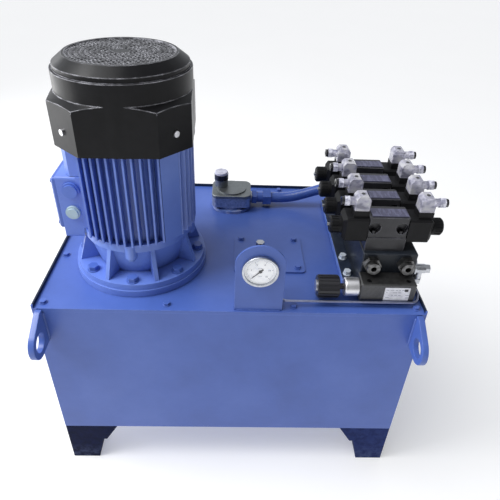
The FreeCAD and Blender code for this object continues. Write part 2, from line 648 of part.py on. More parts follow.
def make_coupling():
    """Two hubs and the elastic spider between them, all on the motor's shaft line."""
    centre = (MOTOR_X, MOTOR_Y)
    upper = tube(32.0, SHAFT_R, 27.0, (*centre, 427.0))
    spider = tube(31.0, 12.0, 9.0, (*centre, 413.0))
    lower = tube(32.0, PUMP_SHAFT_R, 27.0, (*centre, 386.0))
    save("coupling", upper, rod(SHAFT_R, 5.0, (*centre, 422.0)).fuse(spider), lower)


def make_pump():
    x = MOTOR_X
    y = MOTOR_Y
    gear_y = y + GEAR_CENTRES
    body = box(x - 42, x + 42, y - 40, gear_y + 40, PUMP_BOTTOM, PUMP_TOP)
    body = body.makeFillet(14.0, [e for e in body.Edges if abs(e.tangentAt(0).z) > 0.9])
    room_low = PUMP_BOTTOM + 26
    chambers = [rod(GEAR_R + GEAR_GAP, 34.0, (x, cy, room_low)) for cy in (y, gear_y)]
    shaft_bore = rod(PUMP_SHAFT_R + SHAFT_GAP, 70.0, (x, y, PUMP_BOTTOM + 17))
    idler_bore = rod(PUMP_SHAFT_R + SHAFT_GAP, 52.0, (x, gear_y, PUMP_BOTTOM + 17))
    outlet = rod(7.0, 40.0, (x + 8, y, PRESSURE_PIPE_Z), X_AXIS)
    inlet = rod(11.0, 30.0, (x, y, PUMP_BOTTOM - 1)).fuse(rod(7.0, 30.0, (x, y + 15, PUMP_BOTTOM + 2)))
    save("pump_body", drill(body, chambers + [shaft_bore, idler_bore, outlet, inlet.Solids[0]]))

    def gear(cy, shaft_top):
        wheel = rod(GEAR_R, 33.4, (x, cy, room_low + 0.3))
        root = GEAR_R - 3
        notches = [turned(box(x + root, x + GEAR_R + 1, cy - 1.8, cy + 1.8, room_low, room_low + 34),
                          angle, x, cy) for angle in range(0, 360, 36)]
        wheel = drill(wheel, notches)
        low = PUMP_BOTTOM + 18
        return join([wheel, rod(PUMP_SHAFT_R, shaft_top - low, (x, cy, low))])

    save("pump_drive_gear", gear(y, 412.0))
    save("pump_driven_gear", gear(gear_y, room_low + 34 + 8))
    stub = tube(10.9, 8.0, 70.0, (x, y, PUMP_BOTTOM - 54))
    flange = tube(26.0, 10.9, 8.0, (x, y, PUMP_BOTTOM - 8))
    basket = rod(36.0, 62.0, (x, y, PUMP_BOTTOM - 116))
    basket = basket.cut(rod(33.0, 56.0, (x, y, PUMP_BOTTOM - 113)))
    basket = basket.cut(rod(8.0, 20.0, (x, y, PUMP_BOTTOM - 60)))
    save("suction_strainer", join([stub, flange, basket]))


def make_pressure_pipe():
    route = [(MOTOR_X + 42, MOTOR_Y, PRESSURE_PIPE_Z), (303.0, MOTOR_Y, PRESSURE_PIPE_Z),
             (303.0, MOTOR_Y, LID_TOP + RISER_THICK)]
    save("pressure_pipe", bent_pipe(route, [40.0], PRESSURE_PIPE_R, PRESSURE_PIPE_R - 2.5))


# ---- return filter and return pipe ----

def make_filter():
    centre = (FILTER_X, FILTER_Y)
    port_z = LID_TOP + FILTER_PORT_Z
    flange = rod(FILTER_FLANGE_R, 7.0, (*centre, LID_TOP))
    neck = rod(FILTER_NECK_R, 16.0, (*centre, LID_TOP))
    block = filter_block(LID_TOP + 14, LID_TOP + FILTER_HEAD_TOP)
    port = rod(14.0, FILTER_PORT_REACH, (FILTER_X, FILTER_Y, port_z), X_AXIS)
    spigot = tube(FILTER_BOWL_R, FILTER_BOWL_R - 3, 12.0, (*centre, LID_TOP - 12))
    room = rod(30.0, FILTER_HEAD_TOP + 2, (*centre, LID_TOP - 1))
    bore = rod(9.0, 28.0, (FILTER_X + 25, FILTER_Y, port_z), X_AXIS)
    holes = [rod(3.4, 9.0, (x, y, LID_TOP - 1)) for x, y in filter_screw_places()]
    body = drill(join([flange, neck, block, port, spigot]), [room, bore] + holes)
    bowl = rod(FILTER_BOWL_R, 118.0, (*centre, LID_TOP - 130))
    bowl = bowl.cut(rod(FILTER_BOWL_R - 3, 115.0, (*centre, LID_TOP - 127)))
    save("filter_head", body, bowl)
    save("filter_element", tube(25.0, 12.0, 125.0, (*centre, LID_TOP - 95)))
    cap = filter_block(LID_TOP + FILTER_HEAD_TOP, LID_TOP + FILTER_HEAD_TOP + 8)
    cap = cap.makeFillet(2.0, [e for e in cap.Edges if e.CenterOfMass.z > LID_TOP + FILTER_HEAD_TOP + 7])
    plate = rod(36.0, 11.0, (*centre, LID_TOP + FILTER_HEAD_TOP))
    x = FILTER_X - 26
    y = FILTER_Y + 10
    post = rod(16.5, INDICATOR_BASE - FILTER_HEAD_TOP, (x, y, LID_TOP + FILTER_HEAD_TOP))
    save("filter_cap", join([cap, plate, post]))
    case = rod(17.5, 14.0, (x, y, LID_TOP + INDICATOR_BASE))
    rim = rod(16.5, 7.0, (x, y, LID_TOP + INDICATOR_BASE + 13))
    rim = rim.makeFillet(3.0, [e for e in rim.Edges if e.CenterOfMass.z > LID_TOP + INDICATOR_BASE + 19])
    save("filter_indicator", join([case, rim]))


def filter_block(bottom, top):
    """Rounded block of the filter's head between two heights."""
    block = box(*FILTER_HEAD, bottom, top)
    return block.makeFillet(16.0, [e for e in block.Edges if abs(e.tangentAt(0).z) > 0.9])


def filter_screw_places():
    return list(around(4, 45.0, 45.0, FILTER_X, FILTER_Y))


def return_route():
    """Level out of the filter, then rising behind the valves to the rear of the block."""
    z = LID_TOP + FILTER_PORT_Z
    end_x, end_y, end_z = RETURN_PORT
    return [(FILTER_X + 99, FILTER_Y, z), (140.0, FILTER_Y, z), (end_x, FILTER_Y - 8, end_z),
            (end_x, end_y + 17, end_z)]


def make_return_line():
    z = LID_TOP + FILTER_PORT_Z
    start = FILTER_X + FILTER_PORT_REACH
    union = join([hexagon(32.0, 12.0, (start, FILTER_Y, z), X_AXIS),
                  rod(13.0, 16.0, (start + 12, FILTER_Y, z), X_AXIS),
                  hexagon(36.0, 20.0, (start + 28, FILTER_Y, z), X_AXIS)])
    union = union.cut(rod(9.0, 50.0, (start - 1, FILTER_Y, z), X_AXIS))
    end_nut = hexagon(30.0, 17.0, RETURN_PORT, Y_AXIS)
    save("return_fittings", union, end_nut)
    save("return_pipe", bent_pipe(return_route(), [150.0, 24.0], RETURN_PIPE_R))


# ---- manifold ----

def front_ports():
    return [(x, MANIFOLD[2], MANIFOLD_BASE + 62) for x in (268.0, 334.0)]


def work_ports():
    return [(MANIFOLD[1], VALVE_FIRST_Y + k * VALVE_PITCH + 20, MANIFOLD_BASE + 24)
            for k in range(VALVE_COUNT)]


def make_manifold():
    x0, x1, y0, y1 = RISER
    riser = box(x0, x1, y0, y1, LID_TOP, LID_TOP + RISER_THICK)
    riser = riser.makeChamfer(2.0, [e for e in riser.Edges if e.CenterOfMass.z > LID_TOP + 11])
    holes = [rod(PRESSURE_PIPE_R + 1, 20.0, (303.0, MOTOR_Y, LID_TOP - 1))]
    edge = HALF_LENGTH - LID_SCREW_INSET
    for y in (-80.0, 80.0):
        holes.append(rod(9.0, 20.0, (edge, y, LID_TOP - 1)))
        holes.append(box(edge, x1 + 1, y - 9, y + 9, LID_TOP - 1, LID_TOP + 19))
    save("manifold_riser", drill(riser, holes))
    x0, x1, y0, y1 = MANIFOLD
    block = box(x0, x1, y0, y1, MANIFOLD_BASE, MANIFOLD_TOP)
    block = block.makeChamfer(1.5, block.Edges)
    channels = [rod(9.0, 40.0, (303.0, MOTOR_Y, MANIFOLD_BASE - 1))]
    channels += [rod(PORT_BORE_R, PORT_DEPTH + 1, (x, y - 1, z), Y_AXIS) for x, y, z in front_ports()]
    channels += [rod(PORT_BORE_R, PORT_DEPTH + 1, (x + 1, y, z), X_AXIS * -1) for x, y, z in work_ports()]
    save("manifold_block", drill(block, channels))


def port_adapter(face, out):
    """Hexagon adapter seated on a port of the block and open right through."""
    place = Vector(*face)
    body = join([hexagon(30.0, 13.0, place, out), rod(12.5, 9.0, place + out * 13, out)])
    return body.cut(rod(ADAPTER_BORE_R, 24.0, place - out, out))


def make_manifold_fittings():
    """Bolts along the riser's left edge, open adapters on the ports of the front and right faces."""
    pieces = []
    for y in (-142.0, -86.0, 20.0, 130.0):
        head = hexagon(13.0, 8.0, (RISER_BOLT_X, y, MANIFOLD_BASE + 1.5))
        pieces.append(join([head, rod(8.5, 1.5, (RISER_BOLT_X, y, MANIFOLD_BASE))]))
    pieces += [port_adapter(place, Y_AXIS * -1) for place in front_ports()]
    pieces += [port_adapter(place, X_AXIS) for place in work_ports()]
    save("manifold_fittings", *pieces)


# ---- directional valves ----

def valve_body(y):
    """Spool housing with its four screw pockets, cut from the front and the back."""
    z0 = MANIFOLD_TOP
    x0 = VALVE_X - VALVE_BODY_HALF
    x1 = VALVE_X + VALVE_BODY_HALF
    foot = box(x0, x1, y - VALVE_HALF_WIDTH, y + VALVE_HALF_WIDTH, z0, z0 + VALVE_FOOT_HEIGHT)
    trunk = box(x0, x1, y - VALVE_HALF_WIDTH + 1, y + VALVE_HALF_WIDTH - 1, z0 + 11,
                z0 + VALVE_BODY_HEIGHT)
    trunk = trunk.makeChamfer(2.0, [e for e in trunk.Edges if abs(e.tangentAt(0).z) > 0.9])
    ledge = box(x0 + 1, x1 - 1, y - VALVE_HALF_WIDTH - 1, y + VALVE_HALF_WIDTH + 1, z0 + 26, z0 + 30)
    pockets = []
    for dx in (-POCKET_OFFSET, POCKET_OFFSET):
        for start in (y - VALVE_HALF_WIDTH - 2, y + VALVE_HALF_WIDTH + 2 - POCKET_DEPTH):
            x = VALVE_X + dx
            pockets.append(rod(POCKET_R, POCKET_DEPTH, (x, start, z0 + POCKET_Z), Y_AXIS))
            pockets.append(box(x - 5, x + 5, start, start + POCKET_DEPTH, z0 + POCKET_FLOOR, z0 + POCKET_Z))
    bore = rod(SPOOL_R, 100.0, (VALVE_X - 50, y, z0 + COIL_BOTTOM + COIL_HEIGHT / 2), X_AXIS)
    return drill(join([foot, trunk, ledge]), pockets + [bore])


def coil(y, side):
    """A moulded coil: a chamfered block on the valve's axis, bored for its armature."""
    z0 = MANIFOLD_TOP + COIL_BOTTOM
    inner = VALVE_X + side * VALVE_BODY_HALF
    outer = inner + side * COIL_LENGTH
    block = box(inner, outer, y - VALVE_HALF_WIDTH, y + VALVE_HALF_WIDTH, z0, z0 + COIL_HEIGHT)
    far = [e for e in block.Edges if abs(e.CenterOfMass.x - outer) < 0.1]
    block = block.makeChamfer(7.0, far)
    along = [e for e in block.Edges if abs(e.tangentAt(0).x) > 0.99]
    block = block.makeChamfer(3.0, along)
    x = VALVE_X + (PLUG_OFFSET_RIGHT if side > 0 else PLUG_OFFSET_LEFT)
    socket = box(x - 14, x + 14, y - 15, y + 15, z0 + COIL_HEIGHT - 8, MANIFOLD_TOP + PLUG_SEAT)
    block = join([block, socket])
    bore = rod(11.0, COIL_LENGTH + 2, (min(inner, outer) - 1, y, z0 + COIL_HEIGHT / 2), X_AXIS)
    return block.cut(bore)


def end_nut(y, side):
    """Knurled retaining nut with a small hole for the hand override."""
    z = MANIFOLD_TOP + COIL_BOTTOM + COIL_HEIGHT / 2
    inner = VALVE_X + side * (VALVE_BODY_HALF + COIL_LENGTH)
    axis = X_AXIS * side
    nut = rod(END_NUT_R, END_NUT_LENGTH, (inner, y, z), axis)
    nut = nut.makeChamfer(3.0, [e for e in nut.Edges if abs(e.CenterOfMass.x - inner) > 20])
    grooves = []
    for i in range(16):
        groove = box(inner + side * 6, inner + side * END_NUT_LENGTH, y - 1, y + 1, z + END_NUT_R - 1,
                     z + END_NUT_R + 2)
        groove.rotate(Vector(inner, y, z), X_AXIS, i * 22.5)
        grooves.append(groove)
    return drill(nut, grooves + [rod(3.8, END_NUT_LENGTH + 2, (inner - side, y, z), axis)])


def spool_train(y):
    """Spool, two push rods, two armatures and two override pins, which slide as one."""
    z = MANIFOLD_TOP + COIL_BOTTOM + COIL_HEIGHT / 2
    pieces = [rod(SPOOL_R - SPOOL_GAP, 56.0, (VALVE_X - 28, y, z), X_AXIS)]
    grooves = [tube(SPOOL_R + 1, 4.0, 8.0, (VALVE_X + dx, y, z), X_AXIS) for dx in (-18.0, 10.0)]
    pieces = [drill(pieces[0], grooves)]
    tip = VALVE_BODY_HALF + COIL_LENGTH + END_NUT_LENGTH + PIN_STANDS_OUT
    for side in (-1, 1):
        axis = X_AXIS * side
        pieces.append(rod(2.5, 20.0, (VALVE_X + side * 27, y, z), axis))
        pieces.append(rod(10.6, 30.0, (VALVE_X + side * 46, y, z), axis))
        pieces.append(rod(3.5, tip - 75, (VALVE_X + side * 75, y, z), axis))
    return join(pieces)


def din_plug(y, side):
    """A clear connector housing with a rounded crown, on the coil's socket."""
    x = VALVE_X + (PLUG_OFFSET_RIGHT if side > 0 else PLUG_OFFSET_LEFT)
    half = PLUG_BASE / 2
    z0 = MANIFOLD_TOP + PLUG_SEAT
    profile = [(x - half, z0), (x - half, z0 + 22), (x - half + 6, z0 + PLUG_HEIGHT),
               (x + half - 6, z0 + PLUG_HEIGHT), (x + half, z0 + 22), (x + half, z0)]
    crown = prism([(px, y - half, pz) for px, pz in profile], (0, PLUG_BASE, 0))
    crown = crown.makeFillet(2.0, [e for e in crown.Edges if abs(e.tangentAt(0).z) > 0.8])
    neck = rod(PLUG_GLAND_R - 1, 12.0, (x + side * (half - 2), y, z0 + GLAND_HEIGHT), X_AXIS * side)
    return join([crown, neck])


def din_gland(y, side):
    """Compression nut of the plug's cable entry, pointing away from the valve."""
    x = VALVE_X + (PLUG_OFFSET_RIGHT if side > 0 else PLUG_OFFSET_LEFT) + side * (PLUG_BASE / 2 + 10)
    z = MANIFOLD_TOP + PLUG_SEAT + GLAND_HEIGHT
    axis = X_AXIS * side
    nut = hexagon(PLUG_GLAND_R * 2, 10.0, (x, y, z), axis)
    lip = rod(PLUG_GLAND_R - 1, 5.0, (x + side * 10, y, z), axis)
    return join([nut, lip]).cut(rod(4.5, 12.0, (x + side * 4, y, z), axis))


def make_valves():
    rows = [VALVE_FIRST_Y + k * VALVE_PITCH for k in range(VALVE_COUNT)]
    sides = (-1, 1)
    save("valve_bodies", *[valve_body(y) for y in rows])
    save("valve_coils", *[coil(y, side) for y in rows for side in sides])
    save("valve_end_nuts", *[end_nut(y, side) for y in rows for side in sides])
    save("din_plugs", *[din_plug(y, side) for y in rows for side in sides])
    save("din_glands", *[din_gland(y, side) for y in rows for side in sides])
    top = MANIFOLD_TOP + VALVE_BODY_HEIGHT
    plates = [box(VALVE_X - 33, VALVE_X + 36, y - 17, y + 11, top, top + 1.6) for y in rows]
    save("valve_nameplates", *plates)
    for number, y in enumerate(rows, 1):
        save("spool_train_" + str(number), spool_train(y))


# ---- relief valve ----

def make_relief_valve():
    x0, x1 = RELIEF_BODY
    z0 = RELIEF_Z - RELIEF_HALF_HEIGHT
    z1 = RELIEF_Z + RELIEF_HALF_HEIGHT
    body = box(x0, x1, RELIEF_FRONT_Y, MANIFOLD[2], z0, z1)
    body = body.makeChamfer(2.0, body.Edges)
    bore = rod(KNOB_STEM_R + 3, 60.0, (x0 - 1, RELIEF_Y, RELIEF_Z), X_AXIS)
    holes = [rod(5.0, 7.0, (x, RELIEF_FRONT_Y + 12, z1 - 6)) for x in (262.0, 338.0)]
    save("relief_body", drill(body, [bore] + holes))
    start = x0 - RELIEF_NUT_LENGTH
    nut = rod(RELIEF_NUT_R, RELIEF_NUT_LENGTH, (start, RELIEF_Y, RELIEF_Z), X_AXIS)
    nut = nut.makeFillet(4.0, [e for e in nut.Edges if abs(e.tangentAt(0).x) < 0.1])
    stem_bore = rod(KNOB_STEM_R + 0.08, RELIEF_NUT_LENGTH + 2, (start - 1, RELIEF_Y, RELIEF_Z), X_AXIS)
    save("relief_guide", nut.cut(stem_bore))
    knob_x = start - KNOB_STEM - KNOB_LENGTH
    grip = rod(KNOB_R - 1.5, KNOB_LENGTH, (knob_x, RELIEF_Y, RELIEF_Z), X_AXIS)
    ribs = []
    for i in range(KNOB_RIBS):
        rib = box(knob_x + 2, knob_x + KNOB_LENGTH - 2, RELIEF_Y - 1.6, RELIEF_Y + 1.6,
                  RELIEF_Z + KNOB_R - 3, RELIEF_Z + KNOB_R)
        rib.rotate(Vector(0, RELIEF_Y, RELIEF_Z), X_AXIS, i * 360.0 / KNOB_RIBS)
        ribs.append(rib)
    stem = rod(KNOB_STEM_R, 90.0, (knob_x + KNOB_LENGTH - 1, RELIEF_Y, RELIEF_Z), X_AXIS)
    end_disc = rod(12.5, 3.0, (knob_x - 3, RELIEF_Y, RELIEF_Z), X_AXIS)
    save("relief_knob", join([grip, stem] + ribs), end_disc)


# ---- pressure gauge ----

def make_gauge_bracket():
    """Upright plate with an arched top, a gauge hole and a foot bent backwards."""
    left = GAUGE_X - BRACKET_HALF
    right = GAUGE_X + BRACKET_HALF
    side_top = LID_TOP + BRACKET_SIDE_HEIGHT
    y = BRACKET_Y
    edges = [Part.makeLine(Vector(left, y, side_top), Vector(left, y, LID_TOP)),
             Part.makeLine(Vector(left, y, LID_TOP), Vector(right, y, LID_TOP)),
             Part.makeLine(Vector(right, y, LID_TOP), Vector(right, y, side_top)),
             Part.Arc(Vector(right, y, side_top), Vector(GAUGE_X, y, LID_TOP + BRACKET_HEIGHT),
                      Vector(left, y, side_top)).toShape()]
    plate = Part.Face(Part.Wire(edges)).extrude(Vector(0, BRACKET_THICK, 0))
    foot = box(left, right, y, y + BRACKET_FOOT, LID_TOP, LID_TOP + BRACKET_THICK)
    hole = rod(GAUGE_CASE_R + 0.5, BRACKET_THICK + 2, (GAUGE_X, y - 1, GAUGE_Z), Y_AXIS)
    save("gauge_bracket", join([plate, foot]).cut(hole))


def make_gauge():
    y = BRACKET_Y
    bezel = tube(GAUGE_BEZEL_R, 29.0, 7.0, (GAUGE_X, y - 7, GAUGE_Z), Y_AXIS)
    bezel = bezel.makeFillet(2.0, [e for e in bezel.Edges
                                   if abs(e.CenterOfMass.y - (y - 7)) < 0.1 and e.Length > 200])
    case = rod(GAUGE_CASE_R, 28.0, (GAUGE_X, y, GAUGE_Z), Y_AXIS)
    stub = rod(7.0, 14.0, (GAUGE_X, y + 28, GAUGE_Z), Y_AXIS)
    plate = rod(29.0, 2.0, (GAUGE_X, y - 2, GAUGE_Z), Y_AXIS)
    pivot_hole = rod(1.3, 8.0, (GAUGE_X, y - 3, GAUGE_Z), Y_AXIS)
    save("gauge_case", join([bezel, case, stub, plate]).cut(pivot_hole))
    hub = rod(3.2, 1.2, (GAUGE_X, y - 3.6, GAUGE_Z), Y_AXIS)
    pin = rod(1.25, 5.0, (GAUGE_X, y - 3.0, GAUGE_Z), Y_AXIS)
    needle = prism([(GAUGE_X - 7, y - 3.4, GAUGE_Z - 1.4), (GAUGE_X - 7, y - 3.4, GAUGE_Z + 1.4),
                    (GAUGE_X + 21, y - 3.4, GAUGE_Z + 0.4), (GAUGE_X + 21, y - 3.4, GAUGE_Z - 0.4)],
                   (0, 0.8, 0))
    needle.rotate(Vector(GAUGE_X, y, GAUGE_Z), Y_AXIS, 135.0)
    save("gauge_pointer", join([hub, pin, needle]))


def make_gauge_line():
    """Elbow behind the gauge, the thin steel tube and its tee on the manifold."""
    x = GAUGE_X
    y = BRACKET_Y + 48
    block = box(x - 9, x + 9, y - 6, y + 10, GAUGE_Z - 12, GAUGE_Z + 12)
    top = hexagon(14.0, 17.0, (x, y + 2, GAUGE_Z + 12))
    nut = hexagon(14.0, 12.0, (x, y + 2, GAUGE_Z - 24))
    elbow = join([block, top, nut]).cut(rod(GAUGE_TUBE_R, 14.0, (x, y + 2, GAUGE_Z - 25)))
    run = rod(9.5, TEE_X + 11 - MANIFOLD[1], (MANIFOLD[1], TEE_Y, TEE_Z), X_AXIS)
    seat = hexagon(21.0, 3.0, (MANIFOLD[1], TEE_Y, TEE_Z), X_AXIS)
    end = hexagon(16.0, 9.0, (TEE_X + 11, TEE_Y, TEE_Z), X_AXIS)
    branch = rod(8.0, 22.0, (TEE_X, TEE_Y, TEE_Z - 22))
    union = hexagon(17.0, 10.0, (TEE_X, TEE_Y, TEE_Z - 32))
    tee = join([run, seat, end, branch, union])
    tee = tee.cut(rod(GAUGE_TUBE_R, 9.0, (TEE_X, TEE_Y, TEE_Z - 33)))
    save("gauge_fittings", elbow, tee)
    z = LID_TOP + 13
    route = [(x, y + 2, GAUGE_Z - 12), (x, y + 2, z + 24), (x + 10, y - 8, z), (x + 52, -231.0, z),
             (357.0, -231.0, z), (TEE_X, TEE_Y - 27, z), (TEE_X, TEE_Y, z), (TEE_X, TEE_Y, TEE_Z - 25)]
    bends = [16.0, 16.0, 22.0, 18.0, 14.0, 11.0]
    save("gauge_tube", bent_pipe(route, bends, GAUGE_TUBE_R))


def make_socket_screws():
    """Socket head screws of the valves, the filter's flange and the relief valve."""
    screws = []
    seat = MANIFOLD_TOP + POCKET_FLOOR
    for k in range(VALVE_COUNT):
        y = VALVE_FIRST_Y + k * VALVE_PITCH
        for dx in (-POCKET_OFFSET, POCKET_OFFSET):
            for side in (-1, 1):
                screws.append(rod(4.0, 6.0, (VALVE_X + dx, y + side * 17.5, seat)))
    for x, y in filter_screw_places():
        head = rod(4.5, 5.0, (x, y, LID_TOP + 7)).cut(hexagon(4.0, 3.0, (x, y, LID_TOP + 9.5)))
        screws.append(head.fuse(rod(3.0, 7.0, (x, y, LID_TOP))))
    for x in (262.0, 338.0):
        z = RELIEF_Z + RELIEF_HALF_HEIGHT - 6
        head = rod(4.6, 5.0, (x, RELIEF_FRONT_Y + 12, z))
        screws.append(head.cut(hexagon(4.0, 3.0, (x, RELIEF_FRONT_Y + 12, z + 2.5))))
    save("socket_screws", *screws)


os.makedirs("parts", exist_ok=True)
make_tank()
make_lid()
make_lid_seal()
make_lid_screws()
make_cleaning_cover()
make_feet()
make_lugs()
make_drain_and_sight()
make_breather()
make_motor_shield()
make_motor_frame()
make_motor_shield_rear()
make_motor_inside()
make_fan()
make_cowl()
make_motor_screws()
make_flange_bolts()
make_terminal_box()
make_bell_housing()
make_coupling()
make_pump()
make_pressure_pipe()
make_filter()
make_return_line()
make_manifold()
make_manifold_fittings()
make_valves()
make_relief_valve()
make_gauge_bracket()
make_gauge()
make_gauge_line()
make_socket_screws()
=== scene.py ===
import json
import math
import random

import bmesh
import bpy
from mathutils import Matrix, Vector


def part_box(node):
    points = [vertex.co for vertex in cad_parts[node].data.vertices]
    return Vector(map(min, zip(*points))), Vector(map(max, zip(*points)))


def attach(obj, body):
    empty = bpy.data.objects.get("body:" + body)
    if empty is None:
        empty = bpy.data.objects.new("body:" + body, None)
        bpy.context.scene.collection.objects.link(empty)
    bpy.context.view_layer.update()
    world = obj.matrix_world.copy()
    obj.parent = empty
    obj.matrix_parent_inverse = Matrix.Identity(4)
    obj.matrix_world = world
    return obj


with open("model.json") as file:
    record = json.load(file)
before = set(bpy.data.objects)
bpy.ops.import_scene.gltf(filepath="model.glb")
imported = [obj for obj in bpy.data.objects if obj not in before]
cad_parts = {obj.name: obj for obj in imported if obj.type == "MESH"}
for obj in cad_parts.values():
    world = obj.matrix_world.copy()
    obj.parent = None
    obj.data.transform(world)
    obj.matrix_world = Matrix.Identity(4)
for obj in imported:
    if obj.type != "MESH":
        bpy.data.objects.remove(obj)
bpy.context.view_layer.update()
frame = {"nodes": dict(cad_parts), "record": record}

# Hydraulic power unit. Metres, +Z up, -Y to the front, +X to the valve side.

ROOT = "unit"
NODES = frame["nodes"]
SCENE = bpy.context.scene
X = Vector((1, 0, 0))
Y = Vector((0, 1, 0))
Z = Vector((0, 0, 1))
MM = 0.001


# ---- camera ----

def make_camera():
    yaw, pitch, roll = (math.radians(a) for a in (2.34, 35.30, 2.55))
    flat = math.cos(pitch)
    forward = Vector((math.sin(yaw) * flat, math.cos(yaw) * flat, -math.sin(pitch)))
    level = Vector((math.cos(yaw), -math.sin(yaw), 0))
    up = level.cross(forward)
    right = level * math.cos(roll) + up * math.sin(roll)
    above = up * math.cos(roll) - level * math.sin(roll)
    data = bpy.data.cameras.new("camera")
    data.lens = 35.5
    data.sensor_width = 36.0
    data.clip_end = 100.0
    camera = bpy.data.objects.new("camera", data)
    turn = Matrix((right, above, -forward)).transposed().to_4x4()
    camera.matrix_world = Matrix.Translation((0.001, -0.945, 1.1165)) @ turn
    SCENE.collection.objects.link(camera)
    SCENE.camera = camera


make_camera()


# ---- materials ----

class Look:
    """A node-based material: a Principled shader and short calls to drive its sockets."""

    def __init__(self, name, settings=None):
        self.material = bpy.data.materials.new(name)
        self.material.use_nodes = True
        self.tree = self.material.node_tree
        self.shader = self.tree.nodes["Principled BSDF"]
        self.set(self.shader, settings or {})
        self.place = self.add("ShaderNodeTexCoord").outputs["Object"]

    def set(self, node, settings):
        for key, value in settings.items():
            node.inputs[key].default_value = value

    def add(self, kind, settings=None, **attributes):
        node = self.tree.nodes.new(kind)
        for key, value in attributes.items():
            setattr(node, key, value)
        self.set(node, settings or {})
        return node

    def link(self, source, target):
        self.tree.links.new(source, target)

    def noise(self, scale, detail=3.0, rough=0.5, stretch=None):
        node = self.add("ShaderNodeTexNoise", {"Scale": scale, "Detail": detail, "Roughness": rough})
        source = self.place
        if stretch:
            mapping = self.add("ShaderNodeMapping", {"Scale": stretch})
            self.link(source, mapping.inputs["Vector"])
            source = mapping.outputs["Vector"]
        self.link(source, node.inputs["Vector"])
        return node.outputs["Fac"]

    def ramp(self, source, stops):
        """A colour ramp over a grey value, from (position, colour) stops."""
        node = self.add("ShaderNodeValToRGB")
        elements = node.color_ramp.elements
        while len(elements) < len(stops):
            elements.new(0.5)
        for element, (position, colour) in zip(elements, stops):
            element.position = position
            grey = isinstance(colour, (int, float))
            element.color = (colour,) * 3 + (1,) if grey else (*colour, 1)
        self.link(source, node.inputs["Fac"])
        return node.outputs["Color"]

    def mix(self, factor, a, b):
        """Colour a, and b over it where the factor is high. Each may be a colour or an output."""
        node = self.add("ShaderNodeMix", data_type="RGBA")
        for value, socket in ((factor, node.inputs[0]), (a, node.inputs[6]), (b, node.inputs[7])):
            if isinstance(value, bpy.types.NodeSocket):
                self.link(value, socket)
            elif isinstance(value, tuple):
                socket.default_value = (*value, 1)
            else:
                socket.default_value = value
        return node.outputs[2]

    def along(self, axis):
        """Position along X, Y or Z (0, 1 or 2), in metres."""
        node = self.add("ShaderNodeSeparateXYZ")
        self.link(self.place, node.inputs[0])
        return node.outputs[axis]

    def step(self, source, low, high):
        """0 below low, 1 above high."""
        node = self.add("ShaderNodeMapRange", {"From Min": low, "From Max": high})
        self.link(source, node.inputs["Value"])
        return node.outputs["Result"]

    def colour(self, source):
        self.link(source, self.shader.inputs["Base Color"])

    def rough(self, source, low, high):
        node = self.add("ShaderNodeMapRange", {"To Min": low, "To Max": high})
        self.link(source, node.inputs["Value"])
        self.link(node.outputs["Result"], self.shader.inputs["Roughness"])

    def bump(self, source, height, strength=1.0):
        """Adds relief of a height in metres; later calls stack on the earlier ones."""
        node = self.add("ShaderNodeBump", {"Strength": strength, "Distance": height})
        self.link(source, node.inputs["Height"])
        normal = self.shader.inputs["Normal"]
        if normal.is_linked:
            self.link(normal.links[0].from_socket, node.inputs["Normal"])
        self.link(node.outputs["Normal"], normal)

    def edges(self, radius):
        """1 on sharp outer and inner edges, 0 on flat and gently curved faces."""
        soft = self.add("ShaderNodeBevel", {"Radius": radius}, samples=4)
        true = self.add("ShaderNodeNewGeometry")
        product = self.add("ShaderNodeVectorMath", operation="DOT_PRODUCT")
        self.link(soft.outputs[0], product.inputs[0])
        self.link(true.outputs["Normal"], product.inputs[1])
        node = self.add("ShaderNodeMapRange", {"From Min": 0.995, "From Max": 0.90})
        self.link(product.outputs["Value"], node.inputs["Value"])
        return node.outputs["Result"]

    def occlusion_shade(self, distance):
        """Ambient occlusion, used as painted shade: 1 in the open and 0 in corners and gaps."""
        node = self.add("ShaderNodeAmbientOcclusion", {"Distance": distance}, samples=6)
        return node.outputs["AO"]


def paint(name, deep, body, pale, rough=(0.3, 0.45), peel=0.00012, shade_reach=0.02):
    """Sprayed paint: slow drift of colour, orange peel, thin paint on edges, painted shade in corners
    and joints.
    """
    look = Look(name, {"Specular IOR Level": 0.45, "Coat Weight": 0.08, "Coat Roughness": 0.2})
    drift = look.noise(7.0, 5.0, 0.6)
    tone = look.ramp(drift, ((0.3, deep), (0.52, body), (0.75, pale)))
    specks = look.ramp(look.noise(420.0, 2.0), ((0.68, 0.0), (0.76, 1.0)))
    tone = look.mix(specks, tone, pale)
    # painted shade: ambient occlusion darkens corners and joints and keeps wear out of them
    corners = look.ramp(look.occlusion_shade(shade_reach), ((0.15, 1.0), (0.6, 0.0)))
    rubbed = look.ramp(look.noise(90.0, 4.0), ((0.35, 0.0), (0.65, 0.5)))
    rubbed = look.mix(corners, rubbed, (0.0,) * 3)
    worn = look.mix(look.edges(0.0012), (0.0,) * 3, rubbed)
    tone = look.mix(worn, tone, tuple(min(1, c * 1.3 + 0.12) for c in pale))
    # colour of the painted shade in corners and joints
    dark = tuple(c * 0.45 for c in deep)
    look.colour(look.mix(corners, tone, dark))
    look.rough(look.noise(30.0, 4.0), *rough)
    look.bump(look.noise(260.0, 2.0), peel)
    look.bump(look.noise(14.0, 2.0), peel * 4, 0.5)
    return look.material


def metal(name, colour, rough=(0.25, 0.4), stretch=None, scale=300.0, relief=0.00004, tint=0.75):
    look = Look(name, {"Metallic": 1.0})
    grain = look.noise(scale, 4.0, 0.6, stretch)
    dull = tuple(c * tint for c in colour)
    tone = look.ramp(grain, ((0.3, dull), (0.7, colour)))
    stain = look.ramp(look.noise(45.0, 4.0), ((0.5, 0.0), (0.8, 0.5)))
    tone = look.mix(stain, tone, tuple(c * 0.5 for c in colour))
    look.colour(tone)
    look.rough(grain, *rough)
    look.bump(grain, relief)
    return look.material


